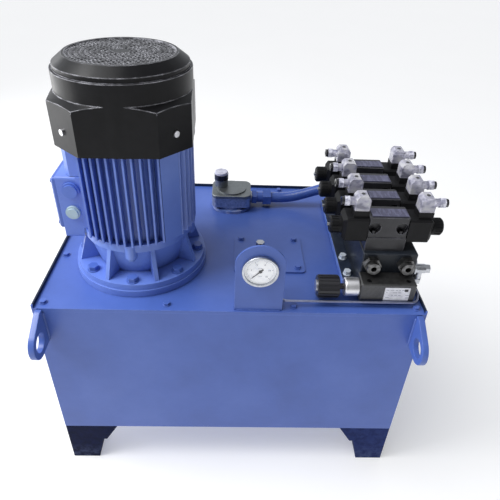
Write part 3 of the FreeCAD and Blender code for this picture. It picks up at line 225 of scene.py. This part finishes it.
def plastic(name, colour, rough=(0.35, 0.5), grain_scale=900.0, relief=0.00005, level=0.5, glow=0.0):
    look = Look(name, {"Specular IOR Level": level, "Emission Strength": glow,
                       "Emission Color": (0.93, 0.95, 1.0, 1)})
    tone = look.ramp(look.noise(60.0, 4.0), ((0.3, tuple(c * 0.8 for c in colour)),
                                             (0.7, tuple(min(1, c * 1.25) for c in colour))))
    look.colour(tone)
    look.rough(look.noise(35.0, 3.0), *rough)
    look.bump(look.noise(grain_scale, 2.0), relief)
    return look.material


def worn_highlit_black(name, colour, bare, rough, level, radius, from_z=0.0):
    """Thin black finish gone pale along the edges above a height: partly wear, partly painted highlight.
    """
    look = Look(name, {"Specular IOR Level": level})
    tone = look.ramp(look.noise(50.0, 4.0), ((0.3, tuple(c * 0.8 for c in colour)),
                                             (0.7, tuple(c * 1.3 for c in colour))))
    rubbed = look.ramp(look.noise(70.0, 4.0), ((0.4, 0.25), (0.62, 1.0)))
    rubbed = look.mix(look.step(look.along(2), from_z - 0.002, from_z), (0.0,) * 3, rubbed)
    # pale edges: edge wear and painted highlight
    look.colour(look.mix(look.mix(look.edges(radius), (0.0,) * 3, rubbed), tone, bare))
    look.rough(look.noise(35.0, 3.0), *rough)
    look.bump(look.noise(260.0, 2.0), 0.00008)
    return look.material


TANK = paint("tank_paint", (0.060, 0.116, 0.40), (0.070, 0.134, 0.455), (0.088, 0.158, 0.50))
MOTOR = paint("motor_paint", (0.115, 0.19, 0.56), (0.135, 0.225, 0.63), (0.18, 0.28, 0.70), shade_reach=0.010)
PIPE = paint("pipe_paint", (0.035, 0.08, 0.30), (0.045, 0.10, 0.38), (0.10, 0.18, 0.5),
             (0.2, 0.3), 0.00005)
# pale edges on the cowl crown: wear and painted highlight
COWL = worn_highlit_black("cowl_paint", (0.005, 0.005, 0.006), (0.62, 0.62, 0.68), (0.26, 0.4), 0.2,
                  0.0024, from_z=0.838)
BLOCK = worn_highlit_black("block_oxide", (0.013, 0.017, 0.024), (0.16, 0.18, 0.22), (0.3, 0.48), 0.4, 0.0010)
VALVE = worn_highlit_black("valve_oxide", (0.024, 0.024, 0.028), (0.26, 0.26, 0.30), (0.28, 0.45), 0.5, 0.0012)
CAST = plastic("rough_casting", (0.10, 0.105, 0.11), (0.5, 0.7), 350.0, 0.0004)
ALLOY = metal("filter_alloy", (0.30, 0.32, 0.33), (0.35, 0.55), None, 260.0, 0.0002)
STEEL = metal("zinc_steel", (0.62, 0.64, 0.68), (0.22, 0.38))
NUT = metal("turned_zinc", (0.95, 0.95, 0.97), (0.35, 0.5), (30, 1, 1), 60.0, tint=0.9)
DIM_STEEL = metal("port_steel", (0.20, 0.20, 0.205), (0.35, 0.5))
DARK_STEEL = metal("black_oxide_steel", (0.06, 0.06, 0.065), (0.3, 0.5))
BRIGHT = metal("bright_screw", (0.9, 0.9, 0.92), (0.2, 0.3))
TUBE = metal("gauge_line", (0.42, 0.45, 0.62), (0.3, 0.4))
RELIEF = metal("phosphated_iron", (0.13, 0.13, 0.13), (0.4, 0.6), None, 200.0, 0.0001)
COPPER = metal("winding", (0.6, 0.25, 0.1))
BLACK = plastic("black_plastic", (0.008, 0.008, 0.009), level=0.3)
COIL = plastic("coil_plastic", (0.006, 0.006, 0.007), (0.4, 0.6), 500.0, 0.0001, 0.22)
PAPER = plastic("filter_paper", (0.6, 0.55, 0.4), (0.7, 0.9))
PRINT = plastic("black_print", (0.02, 0.02, 0.022), (0.4, 0.6))
# the dial glows: painted light that brightens it
DIAL = plastic("dial_white", (0.88, 0.91, 0.98), (0.3, 0.45), relief=0.00001, glow=0.24)
LABEL = plastic("label_white", (0.74, 0.74, 0.78), (0.35, 0.5), relief=0.00002)
GREY_PRINT = plastic("grey_print", (0.34, 0.34, 0.4), (0.4, 0.6))


def foot_look():
    """Painted shade: very dark paint, darkest on the left feet and bluer on the right, dusty towards the
    sole.
    """
    look = Look("foot_painted_shade", {"Specular IOR Level": 0.05})
    right = look.step(look.along(0), 0.0, 0.4)
    speckle = look.ramp(look.noise(60.0, 5.0, 0.7), ((0.4, 0.0), (0.7, 1.0)))
    # painted shade from under the tank, deeper on the left feet than the right
    left_painted_shade = look.mix(speckle, (0.003, 0.006, 0.030), (0.007, 0.012, 0.055))
    right_painted_shade = look.mix(speckle, (0.014, 0.026, 0.115), (0.032, 0.055, 0.21))
    tone = look.mix(right, left_painted_shade, right_painted_shade)
    dust = look.mix(look.step(look.along(2), 0.05, 0.0), (0.0,) * 3, speckle)
    look.colour(look.mix(dust, tone, (0.07, 0.09, 0.18)))
    look.rough(look.noise(30.0, 4.0), 0.4, 0.6)
    look.bump(look.noise(260.0, 2.0), 0.00015)
    return look.material


def riser_look():
    """Dark top painted as the shadow of the valves, blue-painted sides."""
    look = Look("riser_plate", {"Specular IOR Level": 0.4})
    top = look.step(look.along(2), 0.4912, 0.4916)
    # painted shadow: the top is darkened where the valves shade it
    painted_valve_shadow = look.ramp(look.noise(40.0, 4.0), ((0.35, (0.010, 0.016, 0.032)),
                                              (0.65, (0.022, 0.033, 0.060))))
    blue = look.ramp(look.noise(30.0, 4.0), ((0.35, (0.085, 0.16, 0.50)), (0.65, (0.14, 0.24, 0.62))))
    look.colour(look.mix(top, blue, painted_valve_shadow))
    look.rough(look.noise(35.0), 0.28, 0.45)
    look.bump(look.noise(240.0, 2.0), 0.0001)
    return look.material


def motor_screw_look():
    """Bright screws on the cowl; the ones at the shield were painted with the motor."""
    look = Look("motor_screws")
    bright = look.step(look.along(2), 0.70, 0.71)
    blue = look.ramp(look.noise(60.0), ((0.35, (0.09, 0.17, 0.52)), (0.65, (0.16, 0.26, 0.66))))
    steel = look.ramp(look.noise(200.0), ((0.35, (0.6, 0.6, 0.63)), (0.65, (0.85, 0.85, 0.88))))
    look.colour(look.mix(bright, blue, steel))
    look.link(bright, look.shader.inputs["Metallic"])
    look.rough(look.noise(90.0), 0.25, 0.4)
    look.bump(look.noise(300.0, 2.0), 0.00006)
    return look.material


def seal_look():
    """Dark rubber whose front edge was painted with the tank."""
    look = Look("sealing_rubber")
    rubber = look.ramp(look.noise(60.0, 4.0), ((0.3, (0.003, 0.009, 0.027)),
                                               (0.7, (0.005, 0.015, 0.044))))
    look.colour(look.mix(look.step(look.along(1), -0.2470, -0.2465), (0.073, 0.14, 0.47), rubber))
    look.rough(look.noise(35.0), 0.35, 0.55)
    look.bump(look.noise(300.0, 2.0), 0.0003)
    return look.material


def gland_look():
    """Clear compression nuts with dark ends."""
    look = Look("plug_glands", {"Coat Weight": 0.4})
    left = look.step(look.along(0), 0.2036, 0.2030)
    right = look.step(look.along(0), 0.3914, 0.3920)
    dark = look.mix(left, right, (1.0,) * 3)
    cloud = look.ramp(look.noise(150.0, 4.0), ((0.36, (0.32, 0.32, 0.42)), (0.6, (0.78, 0.78, 0.88))))
    look.colour(look.mix(dark, cloud, (0.02, 0.02, 0.024)))
    look.rough(look.noise(80.0), 0.12, 0.3)
    look.bump(look.noise(250.0, 2.0), 0.0001)
    return look.material


def fitting_look():
    """Zinc steel; the bolt heads low on the riser carry a pale coat that is a painted highlight."""
    look = Look("manifold_steel")
    high = look.step(look.along(2), 0.5018, 0.5022)
    front = look.step(look.along(1), -0.1850, -0.1852)
    steel = look.mix(look.ramp(look.noise(160.0, 4.0), ((0.3, 0.0), (0.7, 1.0))), (0.45, 0.46, 0.5),
                     (0.66, 0.67, 0.72))
    dim = look.mix(look.ramp(look.noise(110.0, 4.0), ((0.4, 0.0), (0.6, 1.0))), (0.11, 0.11, 0.11),
                   (0.22, 0.22, 0.22))
    zinc = look.mix(front, steel, dim)
    # painted highlight: the low bolt heads are pale and not metallic
    look.colour(look.mix(high, (0.62, 0.68, 0.76), zinc))
    look.link(high, look.shader.inputs["Metallic"])
    look.rough(look.noise(90.0), 0.28, 0.45)
    look.bump(look.noise(300.0, 2.0), 0.00006)
    return look.material


def cable_entry_look():
    """The upper entry is painted over, the lower one is pale bare plastic."""
    look = Look("cable_entry")
    blue = look.ramp(look.noise(40.0, 4.0), ((0.3, (0.08, 0.15, 0.48)), (0.7, (0.10, 0.18, 0.55))))
    pale = look.ramp(look.noise(40.0, 4.0), ((0.3, (0.30, 0.40, 0.46)), (0.7, (0.42, 0.54, 0.58))))
    look.colour(look.mix(look.step(look.along(2), 0.644, 0.645), pale, blue))
    look.rough(look.noise(30.0), 0.3, 0.42)
    look.bump(look.noise(300.0, 2.0), 0.0001)
    return look.material


def indicator_look():
    """A black body with a pale window on top."""
    look = Look("clogging_indicator", {"Coat Weight": 0.4})
    pale = look.ramp(look.noise(90.0, 4.0), ((0.35, (0.40, 0.40, 0.50)), (0.7, (0.66, 0.66, 0.78))))
    look.colour(look.mix(look.step(look.along(2), 0.5618, 0.5622), (0.006, 0.006, 0.008), pale))
    look.rough(look.noise(60.0), 0.2, 0.35)
    look.bump(look.noise(400.0, 2.0), 0.0001)
    return look.material


def filter_head_look():
    """A bare casting whose flange was sprayed with the tank."""
    look = Look("filter_neck")
    bare = look.step(look.along(2), 0.4890, 0.4955)
    patch = look.ramp(look.noise(60.0, 3.0), ((0.5, 0.0), (0.56, 1.0)))
    metal_tone = look.ramp(look.noise(200.0, 4.0), ((0.3, (0.36, 0.38, 0.42)), (0.7, (0.6, 0.62, 0.68))))
    blue = look.mix(patch, (0.12, 0.19, 0.46), (0.3, 0.36, 0.6))
    look.colour(look.mix(bare, blue, metal_tone))
    look.link(bare, look.shader.inputs["Metallic"])
    look.rough(look.noise(80.0, 3.0), 0.25, 0.5)
    look.bump(look.noise(240.0, 3.0), 0.0002)
    return look.material


def knob_look():
    """A black ribbed knob with a bare metal disc in its end."""
    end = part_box("relief_knob")[0].x
    look = Look("ribbed_knob", {"Specular IOR Level": 0.4})
    rubber = look.step(look.along(0), end + 0.0026, end + 0.0029)
    bare = look.ramp(rubber, ((0.0, 1.0), (1.0, 0.0)))
    look.colour(look.mix(rubber, (0.66, 0.67, 0.72), (0.026, 0.026, 0.031)))
    look.link(bare, look.shader.inputs["Metallic"])
    look.rough(look.noise(90.0, 3.0), 0.25, 0.42)
    look.bump(look.noise(500.0, 2.0), 0.00008)
    return look.material


def nameplate_look():
    """Brushed plate with rows of unreadable marks."""
    look = Look("valve_nameplate", {"Metallic": 0.6})
    brushed = look.ramp(look.noise(40.0, 3.0, 0.5, (1, 30, 1)), ((0.3, (0.13, 0.13, 0.21)),
                                                                 (0.7, (0.23, 0.23, 0.35))))
    rows = look.add("ShaderNodeTexWave", {"Scale": 95.0}, bands_direction="Y")
    look.link(look.place, rows.inputs["Vector"])
    words = look.ramp(look.noise(160.0, 2.0, 0.5, (1, 0.2, 1)), ((0.46, 0.0), (0.5, 1.0)))
    marks = look.mix(look.ramp(rows.outputs["Fac"], ((0.55, 0.0), (0.65, 1.0))), (0.0,) * 3, words)
    look.colour(look.mix(marks, brushed, (0.05, 0.05, 0.09)))
    look.rough(look.noise(70.0), 0.3, 0.45)
    look.bump(look.noise(300.0, 2.0, 0.5, (1, 20, 1)), 0.00004)
    return look.material


def clear_look():
    """Cloudy moulded plastic that lets the dark insert show through."""
    look = Look("clear_plug", {"Transmission Weight": 0.5, "IOR": 1.45, "Coat Weight": 0.5})
    cloud = look.ramp(look.noise(62.0, 2.0, 0.45, (1, 1, 1.4)), ((0.34, (0.36, 0.36, 0.47)),
                                                                 (0.50, (0.72, 0.71, 0.86)),
                                                                 (0.64, (0.96, 0.95, 1.0))))
    look.colour(cloud)
    look.rough(look.noise(90.0, 3.0), 0.06, 0.22)
    look.bump(look.noise(140.0, 2.0), 0.0001)
    return look.material


def glass_look():
    """Thin glass: mostly clear with a soft reflection that grows at a low angle."""
    look = Look("gauge_glass")
    clear = look.add("ShaderNodeBsdfTransparent")
    shine = look.add("ShaderNodeBsdfGlossy", {"Roughness": 0.08})
    facing = look.add("ShaderNodeLayerWeight", {"Blend": 0.06})
    both = look.add("ShaderNodeMixShader")
    look.link(facing.outputs["Facing"], both.inputs[0])
    look.link(clear.outputs[0], both.inputs[1])
    look.link(shine.outputs[0], both.inputs[2])
    look.link(both.outputs[0], look.tree.nodes["Material Output"].inputs["Surface"])
    return look.material


SEAL = seal_look()
FOOT = foot_look()
RISER = riser_look()
MOTOR_SCREWS = motor_screw_look()
GLANDS = gland_look()
FITTINGS = fitting_look()
ENTRY = cable_entry_look()
INDICATOR = indicator_look()
FILTER_NECK = filter_head_look()
KNOB = knob_look()
PLATE = nameplate_look()
CLEAR = clear_look()
GLASS = glass_look()

LOOKS = {
    "tank_blue": TANK, "screw_blue": TANK, "pipe_blue": PIPE, "seal_navy": SEAL, "motor_blue": MOTOR,
    "cast_inner": CAST, "cowl_black": COWL, "dark_screw": DARK_STEEL, "fan_plastic": BLACK,
    "shaft_steel": STEEL, "copper_winding": COPPER, "entry_plastic": ENTRY, "filter_alloy": ALLOY,
    "filter_paper": PAPER, "indicator_black": INDICATOR, "sight_frame": BLACK, "block_black": BLOCK,
    "fitting_steel": STEEL, "valve_black": VALVE, "coil_black": COIL, "nut_black": COIL,
    "plate_silver": PLATE, "plug_clear": CLEAR, "gland_black": BLACK, "relief_iron": RELIEF,
    "guide_zinc": NUT, "knob_black": KNOB, "bezel_steel": STEEL, "pointer_black": PRINT,
    "tube_steel": TUBE,
}
NODE_LOOKS = {
    "feet_front": FOOT, "feet_rear": FOOT, "filter_head": FILTER_NECK, "din_glands": GLANDS,
    "manifold_fittings": FITTINGS, "motor_screws": MOTOR_SCREWS, "return_fittings": PIPE,
    "manifold_riser": RISER, "terminal_box_lid": TANK,
}
SLOT_OF = {row["node"]: row["material_slot"] for row in frame["record"]["subparts"]}


def smooth_by_angle():
    """A modifier group that smooths a mesh except along edges sharper than 30 degrees."""
    group = bpy.data.node_groups.new("smooth_by_angle", "GeometryNodeTree")
    group.interface.new_socket("Geometry", in_out="INPUT", socket_type="NodeSocketGeometry")
    group.interface.new_socket("Geometry", in_out="OUTPUT", socket_type="NodeSocketGeometry")
    start = group.nodes.new("NodeGroupInput")
    end = group.nodes.new("NodeGroupOutput")
    faces = group.nodes.new("GeometryNodeSetShadeSmooth")
    edges = group.nodes.new("GeometryNodeSetShadeSmooth")
    edges.domain = "EDGE"
    angle = group.nodes.new("GeometryNodeInputMeshEdgeAngle")
    flat = group.nodes.new("FunctionNodeCompare")
    flat.operation = "LESS_EQUAL"
    flat.inputs["B"].default_value = math.radians(30)
    group.links.new(angle.outputs["Unsigned Angle"], flat.inputs["A"])
    group.links.new(start.outputs["Geometry"], faces.inputs["Geometry"])
    group.links.new(faces.outputs["Geometry"], edges.inputs["Geometry"])
    group.links.new(flat.outputs["Result"], edges.inputs["Shade Smooth"])
    group.links.new(edges.outputs["Geometry"], end.inputs["Geometry"])
    return group


SMOOTH = smooth_by_angle()


def finish_surface(obj, bevel=0.0):
    """Rounds the hard edges of a CAD node or a new piece and smooths what is curved."""
    if "custom_normal" in obj.data.attributes:
        obj.data.attributes.remove(obj.data.attributes["custom_normal"])
    weld = obj.modifiers.new("weld", "WELD")
    weld.merge_threshold = 2e-6
    if bevel:
        merge = obj.modifiers.new("merge", "DECIMATE")
        merge.decimate_type = "DISSOLVE"
        merge.angle_limit = math.radians(0.4)
        round_edges = obj.modifiers.new("round_edges", "BEVEL")
        round_edges.width = bevel
        round_edges.segments = 2
        round_edges.limit_method = "ANGLE"
        round_edges.angle_limit = math.radians(32)
        round_edges.use_clamp_overlap = True
    modifier = obj.modifiers.new("smooth", "NODES")
    modifier.node_group = SMOOTH
    if bevel:
        even = obj.modifiers.new("even_normals", "WEIGHTED_NORMAL")
        even.keep_sharp = True
        even.weight = 90


BEVELS = {
    "tank_shell": 1.5, "tank_lid": 1.2, "feet_front": 1.2, "feet_rear": 1.2, "lugs_front": 1.5,
    "lugs_rear": 1.5, "motor_cowl": 0.4, "motor_frame": 0.5, "motor_shield_front": 1.2,
    "terminal_box": 1.5, "terminal_box_lid": 1.0, "bell_housing": 1.2, "gauge_bracket": 1.0,
    "manifold_riser": 1.0, "manifold_block": 0.8, "valve_bodies": 1.0, "valve_coils": 0.8,
    "din_plugs": 0.8, "relief_body": 1.0, "filter_head": 1.5, "filter_cap": 1.5, "lid_screws": 0.4,
    "flange_bolts": 0.6, "cleaning_cover": 0.8,
}


def dress_nodes():
    for name, node in NODES.items():
        finish_surface(node, BEVELS.get(name, 0.0) * MM)
        node.data.materials.clear()
        node.data.materials.append(NODE_LOOKS.get(name, LOOKS[SLOT_OF[name]]))


dress_nodes()


# ---- pieces ----

def piece(name, mesh, looks):
    """A new object from a bmesh, which rides on the unit."""
    data = bpy.data.meshes.new(name)
    mesh.to_mesh(data)
    mesh.free()
    for look in looks:
        data.materials.append(look)
    obj = bpy.data.objects.new(name, data)
    SCENE.collection.objects.link(obj)
    finish_surface(obj)
    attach(obj, ROOT)


def add_prism(mesh, outline, depth, look=0):
    """A closed prism from a planar outline of points, pushed along a vector."""
    low = [mesh.verts.new(point) for point in outline]
    high = [mesh.verts.new(Vector(point) + depth) for point in outline]
    faces = [mesh.faces.new(low), mesh.faces.new(high[::-1])]
    for i in range(len(outline)):
        j = (i + 1) % len(outline)
        faces.append(mesh.faces.new((low[j], low[i], high[i], high[j])))
    for face in faces:
        face.material_index = look
    bmesh.ops.recalc_face_normals(mesh, faces=faces)


def ring_points(centre, radius, across, up, count):
    """Points evenly round a circle."""
    angles = (math.tau * i / count for i in range(count))
    return [centre + across * (radius * math.cos(a)) + up * (radius * math.sin(a)) for a in angles]


def add_band(mesh, ring, following):
    """Faces between two rings with the same number of vertices."""
    for i in range(len(ring)):
        j = (i + 1) % len(ring)
        mesh.faces.new((ring[i], ring[j], following[j], following[i]))


def rounded_rectangle(centre, width, height, across, up, radius, count=5):
    """Points round a rectangle whose corners are arcs of count steps."""
    points = []
    for quarter in range(4):
        sx = (1, -1, -1, 1)[quarter]
        sy = (1, 1, -1, -1)[quarter]
        corner = centre + across * (sx * (width / 2 - radius)) + up * (sy * (height / 2 - radius))
        for i in range(count + 1):
            a = math.pi / 2 * (quarter + i / count)
            points.append(corner + across * (radius * math.cos(a)) + up * (radius * math.sin(a)))
    return points


def add_text(mesh, text, centre, size, across, up, look):
    """Raised characters on a face, each a closed solid, from the built-in font."""
    curve = bpy.data.curves.new("print", "FONT")
    curve.body = text
    curve.size = size
    curve.align_x = "CENTER"
    curve.align_y = "CENTER"
    curve.extrude = 0.00004
    holder = bpy.data.objects.new("print", curve)
    flat = bpy.data.meshes.new_from_object(holder)
    turn = Matrix((across, up, across.cross(up))).transposed().to_4x4()
    flat.transform(Matrix.Translation(centre) @ turn)
    before = len(mesh.faces)
    start = len(mesh.verts)
    mesh.from_mesh(flat)
    mesh.verts.ensure_lookup_table()
    bmesh.ops.remove_doubles(mesh, verts=mesh.verts[start:], dist=1e-7)
    mesh.faces.ensure_lookup_table()
    for face in mesh.faces[before:]:
        face.material_index = look
    bpy.data.objects.remove(holder)
    bpy.data.curves.remove(curve)
    bpy.data.meshes.remove(flat)


GAUGE = Vector((0.050, -0.247, 0.575))
ROUND = 64
DIAL_RADIUS = 0.0286
DIAL_THICKNESS = 0.00025
SCALE_START = 225
SCALE_SWEEP = 270
DIVISIONS = 50
TICK_END = 0.0252
NUMBER_RADIUS = 0.0165
GLASS_RADIUS = 0.0290
GLASS_BACK = 0.0024
GLASS_FRONT = 0.0028
GLASS_DOME = 0.0003
GLASS_RINGS = 6


def make_dial():
    """White dial with a printed scale of 270 degrees and plain numbers."""
    mesh = bmesh.new()
    front = GAUGE - Y * DIAL_THICKNESS
    add_prism(mesh, ring_points(GAUGE, DIAL_RADIUS, X, Z, ROUND), -Y * DIAL_THICKNESS)
    for tick in range(DIVISIONS + 1):
        angle = math.radians(SCALE_START - SCALE_SWEEP * tick / DIVISIONS)
        out = X * math.cos(angle) + Z * math.sin(angle)
        side = out.cross(Y)
        major = tick % 10 == 0
        half = 0.00032 if major else 0.00014
        inner = 0.0205 if major else 0.0228
        places = ((inner, -half), (TICK_END, -half), (TICK_END, half), (inner, half))
        corners = [front + out * r + side * w for r, w in places]
        add_prism(mesh, corners, -Y * 0.00006, 1)
        if major:
            middle = front + out * NUMBER_RADIUS - Y * 0.00003
            add_text(mesh, str(tick // 2), middle, 0.0048, X, Z, 1)
    for row, width in ((0.0075, 0.010), (-0.0105, 0.007)):
        line = rounded_rectangle(front + Z * row, width, 0.0008, X, Z, 0.0003, 2)
        add_prism(mesh, line, -Y * 0.00005, 2)
    piece("gauge_dial", mesh, (DIAL, PRINT, GREY_PRINT))


def make_glass():
    """A thin lens with a flat back and a slightly domed front."""
    mesh = bmesh.new()
    rings = []
    for k in range(GLASS_RINGS):
        radius = GLASS_RADIUS * (1 - k / GLASS_RINGS)
        dome = GLASS_DOME * (1 - (radius / GLASS_RADIUS) ** 2)
        circle = ring_points(GAUGE - Y * (GLASS_FRONT + dome), radius, X, Z, ROUND)
        rings.append([mesh.verts.new(point) for point in circle])
    for outer, inner in zip(rings, rings[1:]):
        add_band(mesh, outer, inner)
    mesh.faces.new(rings[-1])
    circle = ring_points(GAUGE - Y * GLASS_BACK, GLASS_RADIUS, X, Z, ROUND)
    back = [mesh.verts.new(point) for point in circle]
    add_band(mesh, back, rings[0])
    mesh.faces.new(back[::-1])
    bmesh.ops.recalc_face_normals(mesh, faces=mesh.faces[:])
    piece("gauge_glass", mesh, (GLASS,))


LABEL_WIDTH = 0.049
LABEL_HEIGHT = 0.031
LABEL_THICKNESS = 0.0003


def make_relief_label():
    """Pale label with faint unreadable rows and a dark corner mark."""
    low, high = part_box("relief_body")
    mesh = bmesh.new()
    centre = Vector((high.x - 0.036, low.y - 0.00005, (low.z + high.z) / 2 - 0.001))
    outline = rounded_rectangle(centre, LABEL_WIDTH, LABEL_HEIGHT, X, Z, 0.001)
    add_prism(mesh, outline, -Y * LABEL_THICKNESS)
    ink = centre - Y * LABEL_THICKNESS
    rng = random.Random(11)
    for row in range(4):
        start = -0.021
        while start < 0.019:
            width = rng.uniform(0.002, 0.008)
            word = rounded_rectangle(ink + X * (start + width / 2) + Z * (0.010 - row * 0.0062), width,
                                     0.0014, X, Z, 0.0004, 2)
            if rng.random() > 0.45:
                add_prism(mesh, word, -Y * 0.00004, 1)
            start += width + 0.0022
    badge = rounded_rectangle(ink + X * 0.017 + Z * 0.0095, 0.007, 0.006, X, Z, 0.001)
    add_prism(mesh, badge, -Y * 0.00004, 2)
    piece("relief_label", mesh, (LABEL, GREY_PRINT, PRINT))


def make_weld(name, points, radius):
    """A rippled weld bead along a line of points."""
    mesh = bmesh.new()
    rng = random.Random(len(name) * 7)
    step = radius * 0.28
    rings = []
    for start, end in zip(points, points[1:]):
        run = end - start
        length = run.length
        forward = run.normalized()
        across = forward.orthogonal().normalized()
        up = forward.cross(across)
        for k in range(int(length / step) + 1):
            phase = (k * step / (radius * 1.4)) % 1.0
            swell = radius * (0.80 + 0.22 * math.sqrt(phase) + rng.uniform(-0.03, 0.03))
            if k == 0 or k == int(length / step):
                swell = radius * 0.5
            centre = start + forward * (k * step)
            rings.append([mesh.verts.new(p) for p in ring_points(centre, swell, across, up, 10)])
    for ring, following in zip(rings, rings[1:]):
        add_band(mesh, ring, following)
    mesh.faces.new(rings[0][::-1])
    mesh.faces.new(rings[-1])
    bmesh.ops.recalc_face_normals(mesh, faces=mesh.faces[:])
    piece(name, mesh, (TANK,))


WALL_Y = 0.2503
LUG_THICKNESS = 0.012
LUG_WELD_Z = (0.399, 0.471)
LID_WELD_Z = 0.4804
WELD_INSET = 0.004


def make_welds():
    """Beads along both edges of each lug and along the foot of the gauge bracket."""
    for end, y in (("front", -WALL_Y), ("rear", WALL_Y)):
        low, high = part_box("lugs_" + end)
        sides = (("left", low.x, low.x + LUG_THICKNESS), ("right", high.x, high.x - LUG_THICKNESS))
        for side, outer, inner in sides:
            for edge, x in (("outer", outer), ("inner", inner)):
                line = [Vector((x, y, z)) for z in LUG_WELD_Z]
                make_weld("weld_lug_%s_%s_%s" % (end, side, edge), line, 0.0024)
    low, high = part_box("gauge_bracket")
    line = [Vector((x, low.y - 0.0002, LID_WELD_Z)) for x in (low.x + WELD_INSET, high.x - WELD_INSET)]
    make_weld("weld_gauge_bracket", line, 0.0013)


PLUG_X = {"left": 0.237, "right": 0.358}
PLUG_Z = 0.657
FIRST_VALVE_Y = -0.152
VALVE_PITCH = 0.070


def plug_places():
    """The side, row and foot of each clear plug."""
    for row in range(4):
        for side, x in PLUG_X.items():
            yield side, row, Vector((x, FIRST_VALVE_Y + row * VALVE_PITCH, PLUG_Z))


def make_plug_inserts():
    """Terminal block and clamp screws seen through each clear plug, and its fixing screw."""
    for side, row, base in plug_places():
        mesh = bmesh.new()
        tray = rounded_rectangle(base + Z * 0.003, 0.019, 0.020, X, Y, 0.002)
        add_prism(mesh, tray, Z * 0.009)
        for dx, dy in ((-0.005, -0.005), (0.005, -0.005), (0.0, 0.006)):
            spot = base + Vector((dx, dy, 0.012))
            add_prism(mesh, ring_points(spot, 0.0026, X, Y, 16), Z * 0.003, 1)
        piece("plug_insert_%s_%d" % (side, row + 1), mesh, (BLACK, BRIGHT))
        screw = bmesh.new()
        top = base + Z * 0.029
        add_prism(screw, ring_points(top - Z * 0.0006, 0.0036, X, Y, 24), Z * 0.0014)
        slot = rounded_rectangle(top + Z * 0.0008, 0.0052, 0.0009, X, Y, 0.0003, 2)
        add_prism(screw, slot, Z * 0.00006, 1)
        piece("plug_screw_%s_%d" % (side, row + 1), screw, (DIM_STEEL, PRINT))


make_dial()
make_glass()
make_relief_label()
make_welds()
make_plug_inserts()


# ---- studio ----

def make_floor():
    mesh = bpy.data.meshes.new("floor")
    edge = bmesh.new()
    bmesh.ops.create_grid(edge, x_segments=8, y_segments=8, size=30.0)
    edge.to_mesh(mesh)
    edge.free()
    floor = bpy.data.objects.new("floor", mesh)
    SCENE.collection.objects.link(floor)
    look = Look("floor", {"Roughness": 0.8, "Specular IOR Level": 0.1, "Emission Strength": 0.34,
                          "Emission Color": (1, 1, 1, 1)})
    look.colour(look.ramp(look.noise(2.0), ((0.0, 0.70), (1.0, 0.73))))
    mesh.materials.append(look.material)


def make_world():
    """Soft surroundings that are brighter behind and to the left."""
    world = bpy.data.worlds.new("studio")
    world.use_nodes = True
    tree = world.node_tree
    background = tree.nodes["Background"]
    background.inputs["Color"].default_value = (0.92, 0.95, 1.0, 1)
    direction = tree.nodes.new("ShaderNodeTexCoord")
    facing = tree.nodes.new("ShaderNodeVectorMath")
    facing.operation = "DOT_PRODUCT"
    facing.inputs[1].default_value = Vector((-0.75, 0.62, 0.1)).normalized()
    spread = tree.nodes.new("ShaderNodeMapRange")
    for key, value in {"From Min": -0.6, "From Max": 0.9, "To Min": 0.12, "To Max": 0.85}.items():
        spread.inputs[key].default_value = value
    tree.links.new(direction.outputs["Generated"], facing.inputs[0])
    tree.links.new(facing.outputs["Value"], spread.inputs["Value"])
    tree.links.new(spread.outputs["Result"], background.inputs["Strength"])
    SCENE.world = world


UNIT_MIDDLE = Vector((-0.1, 0.0, 0.5))


def make_lights():
    suns = (("key", (-0.55, -0.2, 1.3), 1.1, 40.0), ("over", (0.2, -0.5, 1.0), 0.14, 90.0))
    for name, towards, strength, angle in suns:
        data = bpy.data.lights.new(name, "SUN")
        data.energy = strength
        data.angle = math.radians(angle)
        light = bpy.data.objects.new(name, data)
        light.rotation_euler = Vector(towards).to_track_quat("Z", "Y").to_euler()
        SCENE.collection.objects.link(light)
    panels = (("side_panel", (-2.1, 0.55, 0.75), (2.6, 1.5), 25.0),
              ("top_left", (-1.15, -0.35, 1.75), (0.8, 0.8), 20.0))
    for name, place, size, power in panels:
        data = bpy.data.lights.new(name, "AREA")
        data.shape = "RECTANGLE"
        data.size, data.size_y = size
        data.energy = power
        panel = bpy.data.objects.new(name, data)
        panel.location = place
        away = panel.location - UNIT_MIDDLE
        panel.rotation_euler = away.to_track_quat("Z", "Y").to_euler()
        panel.visible_camera = False
        SCENE.collection.objects.link(panel)


make_floor()
make_world()
make_lights()
SCENE.view_settings.view_transform = "Standard"
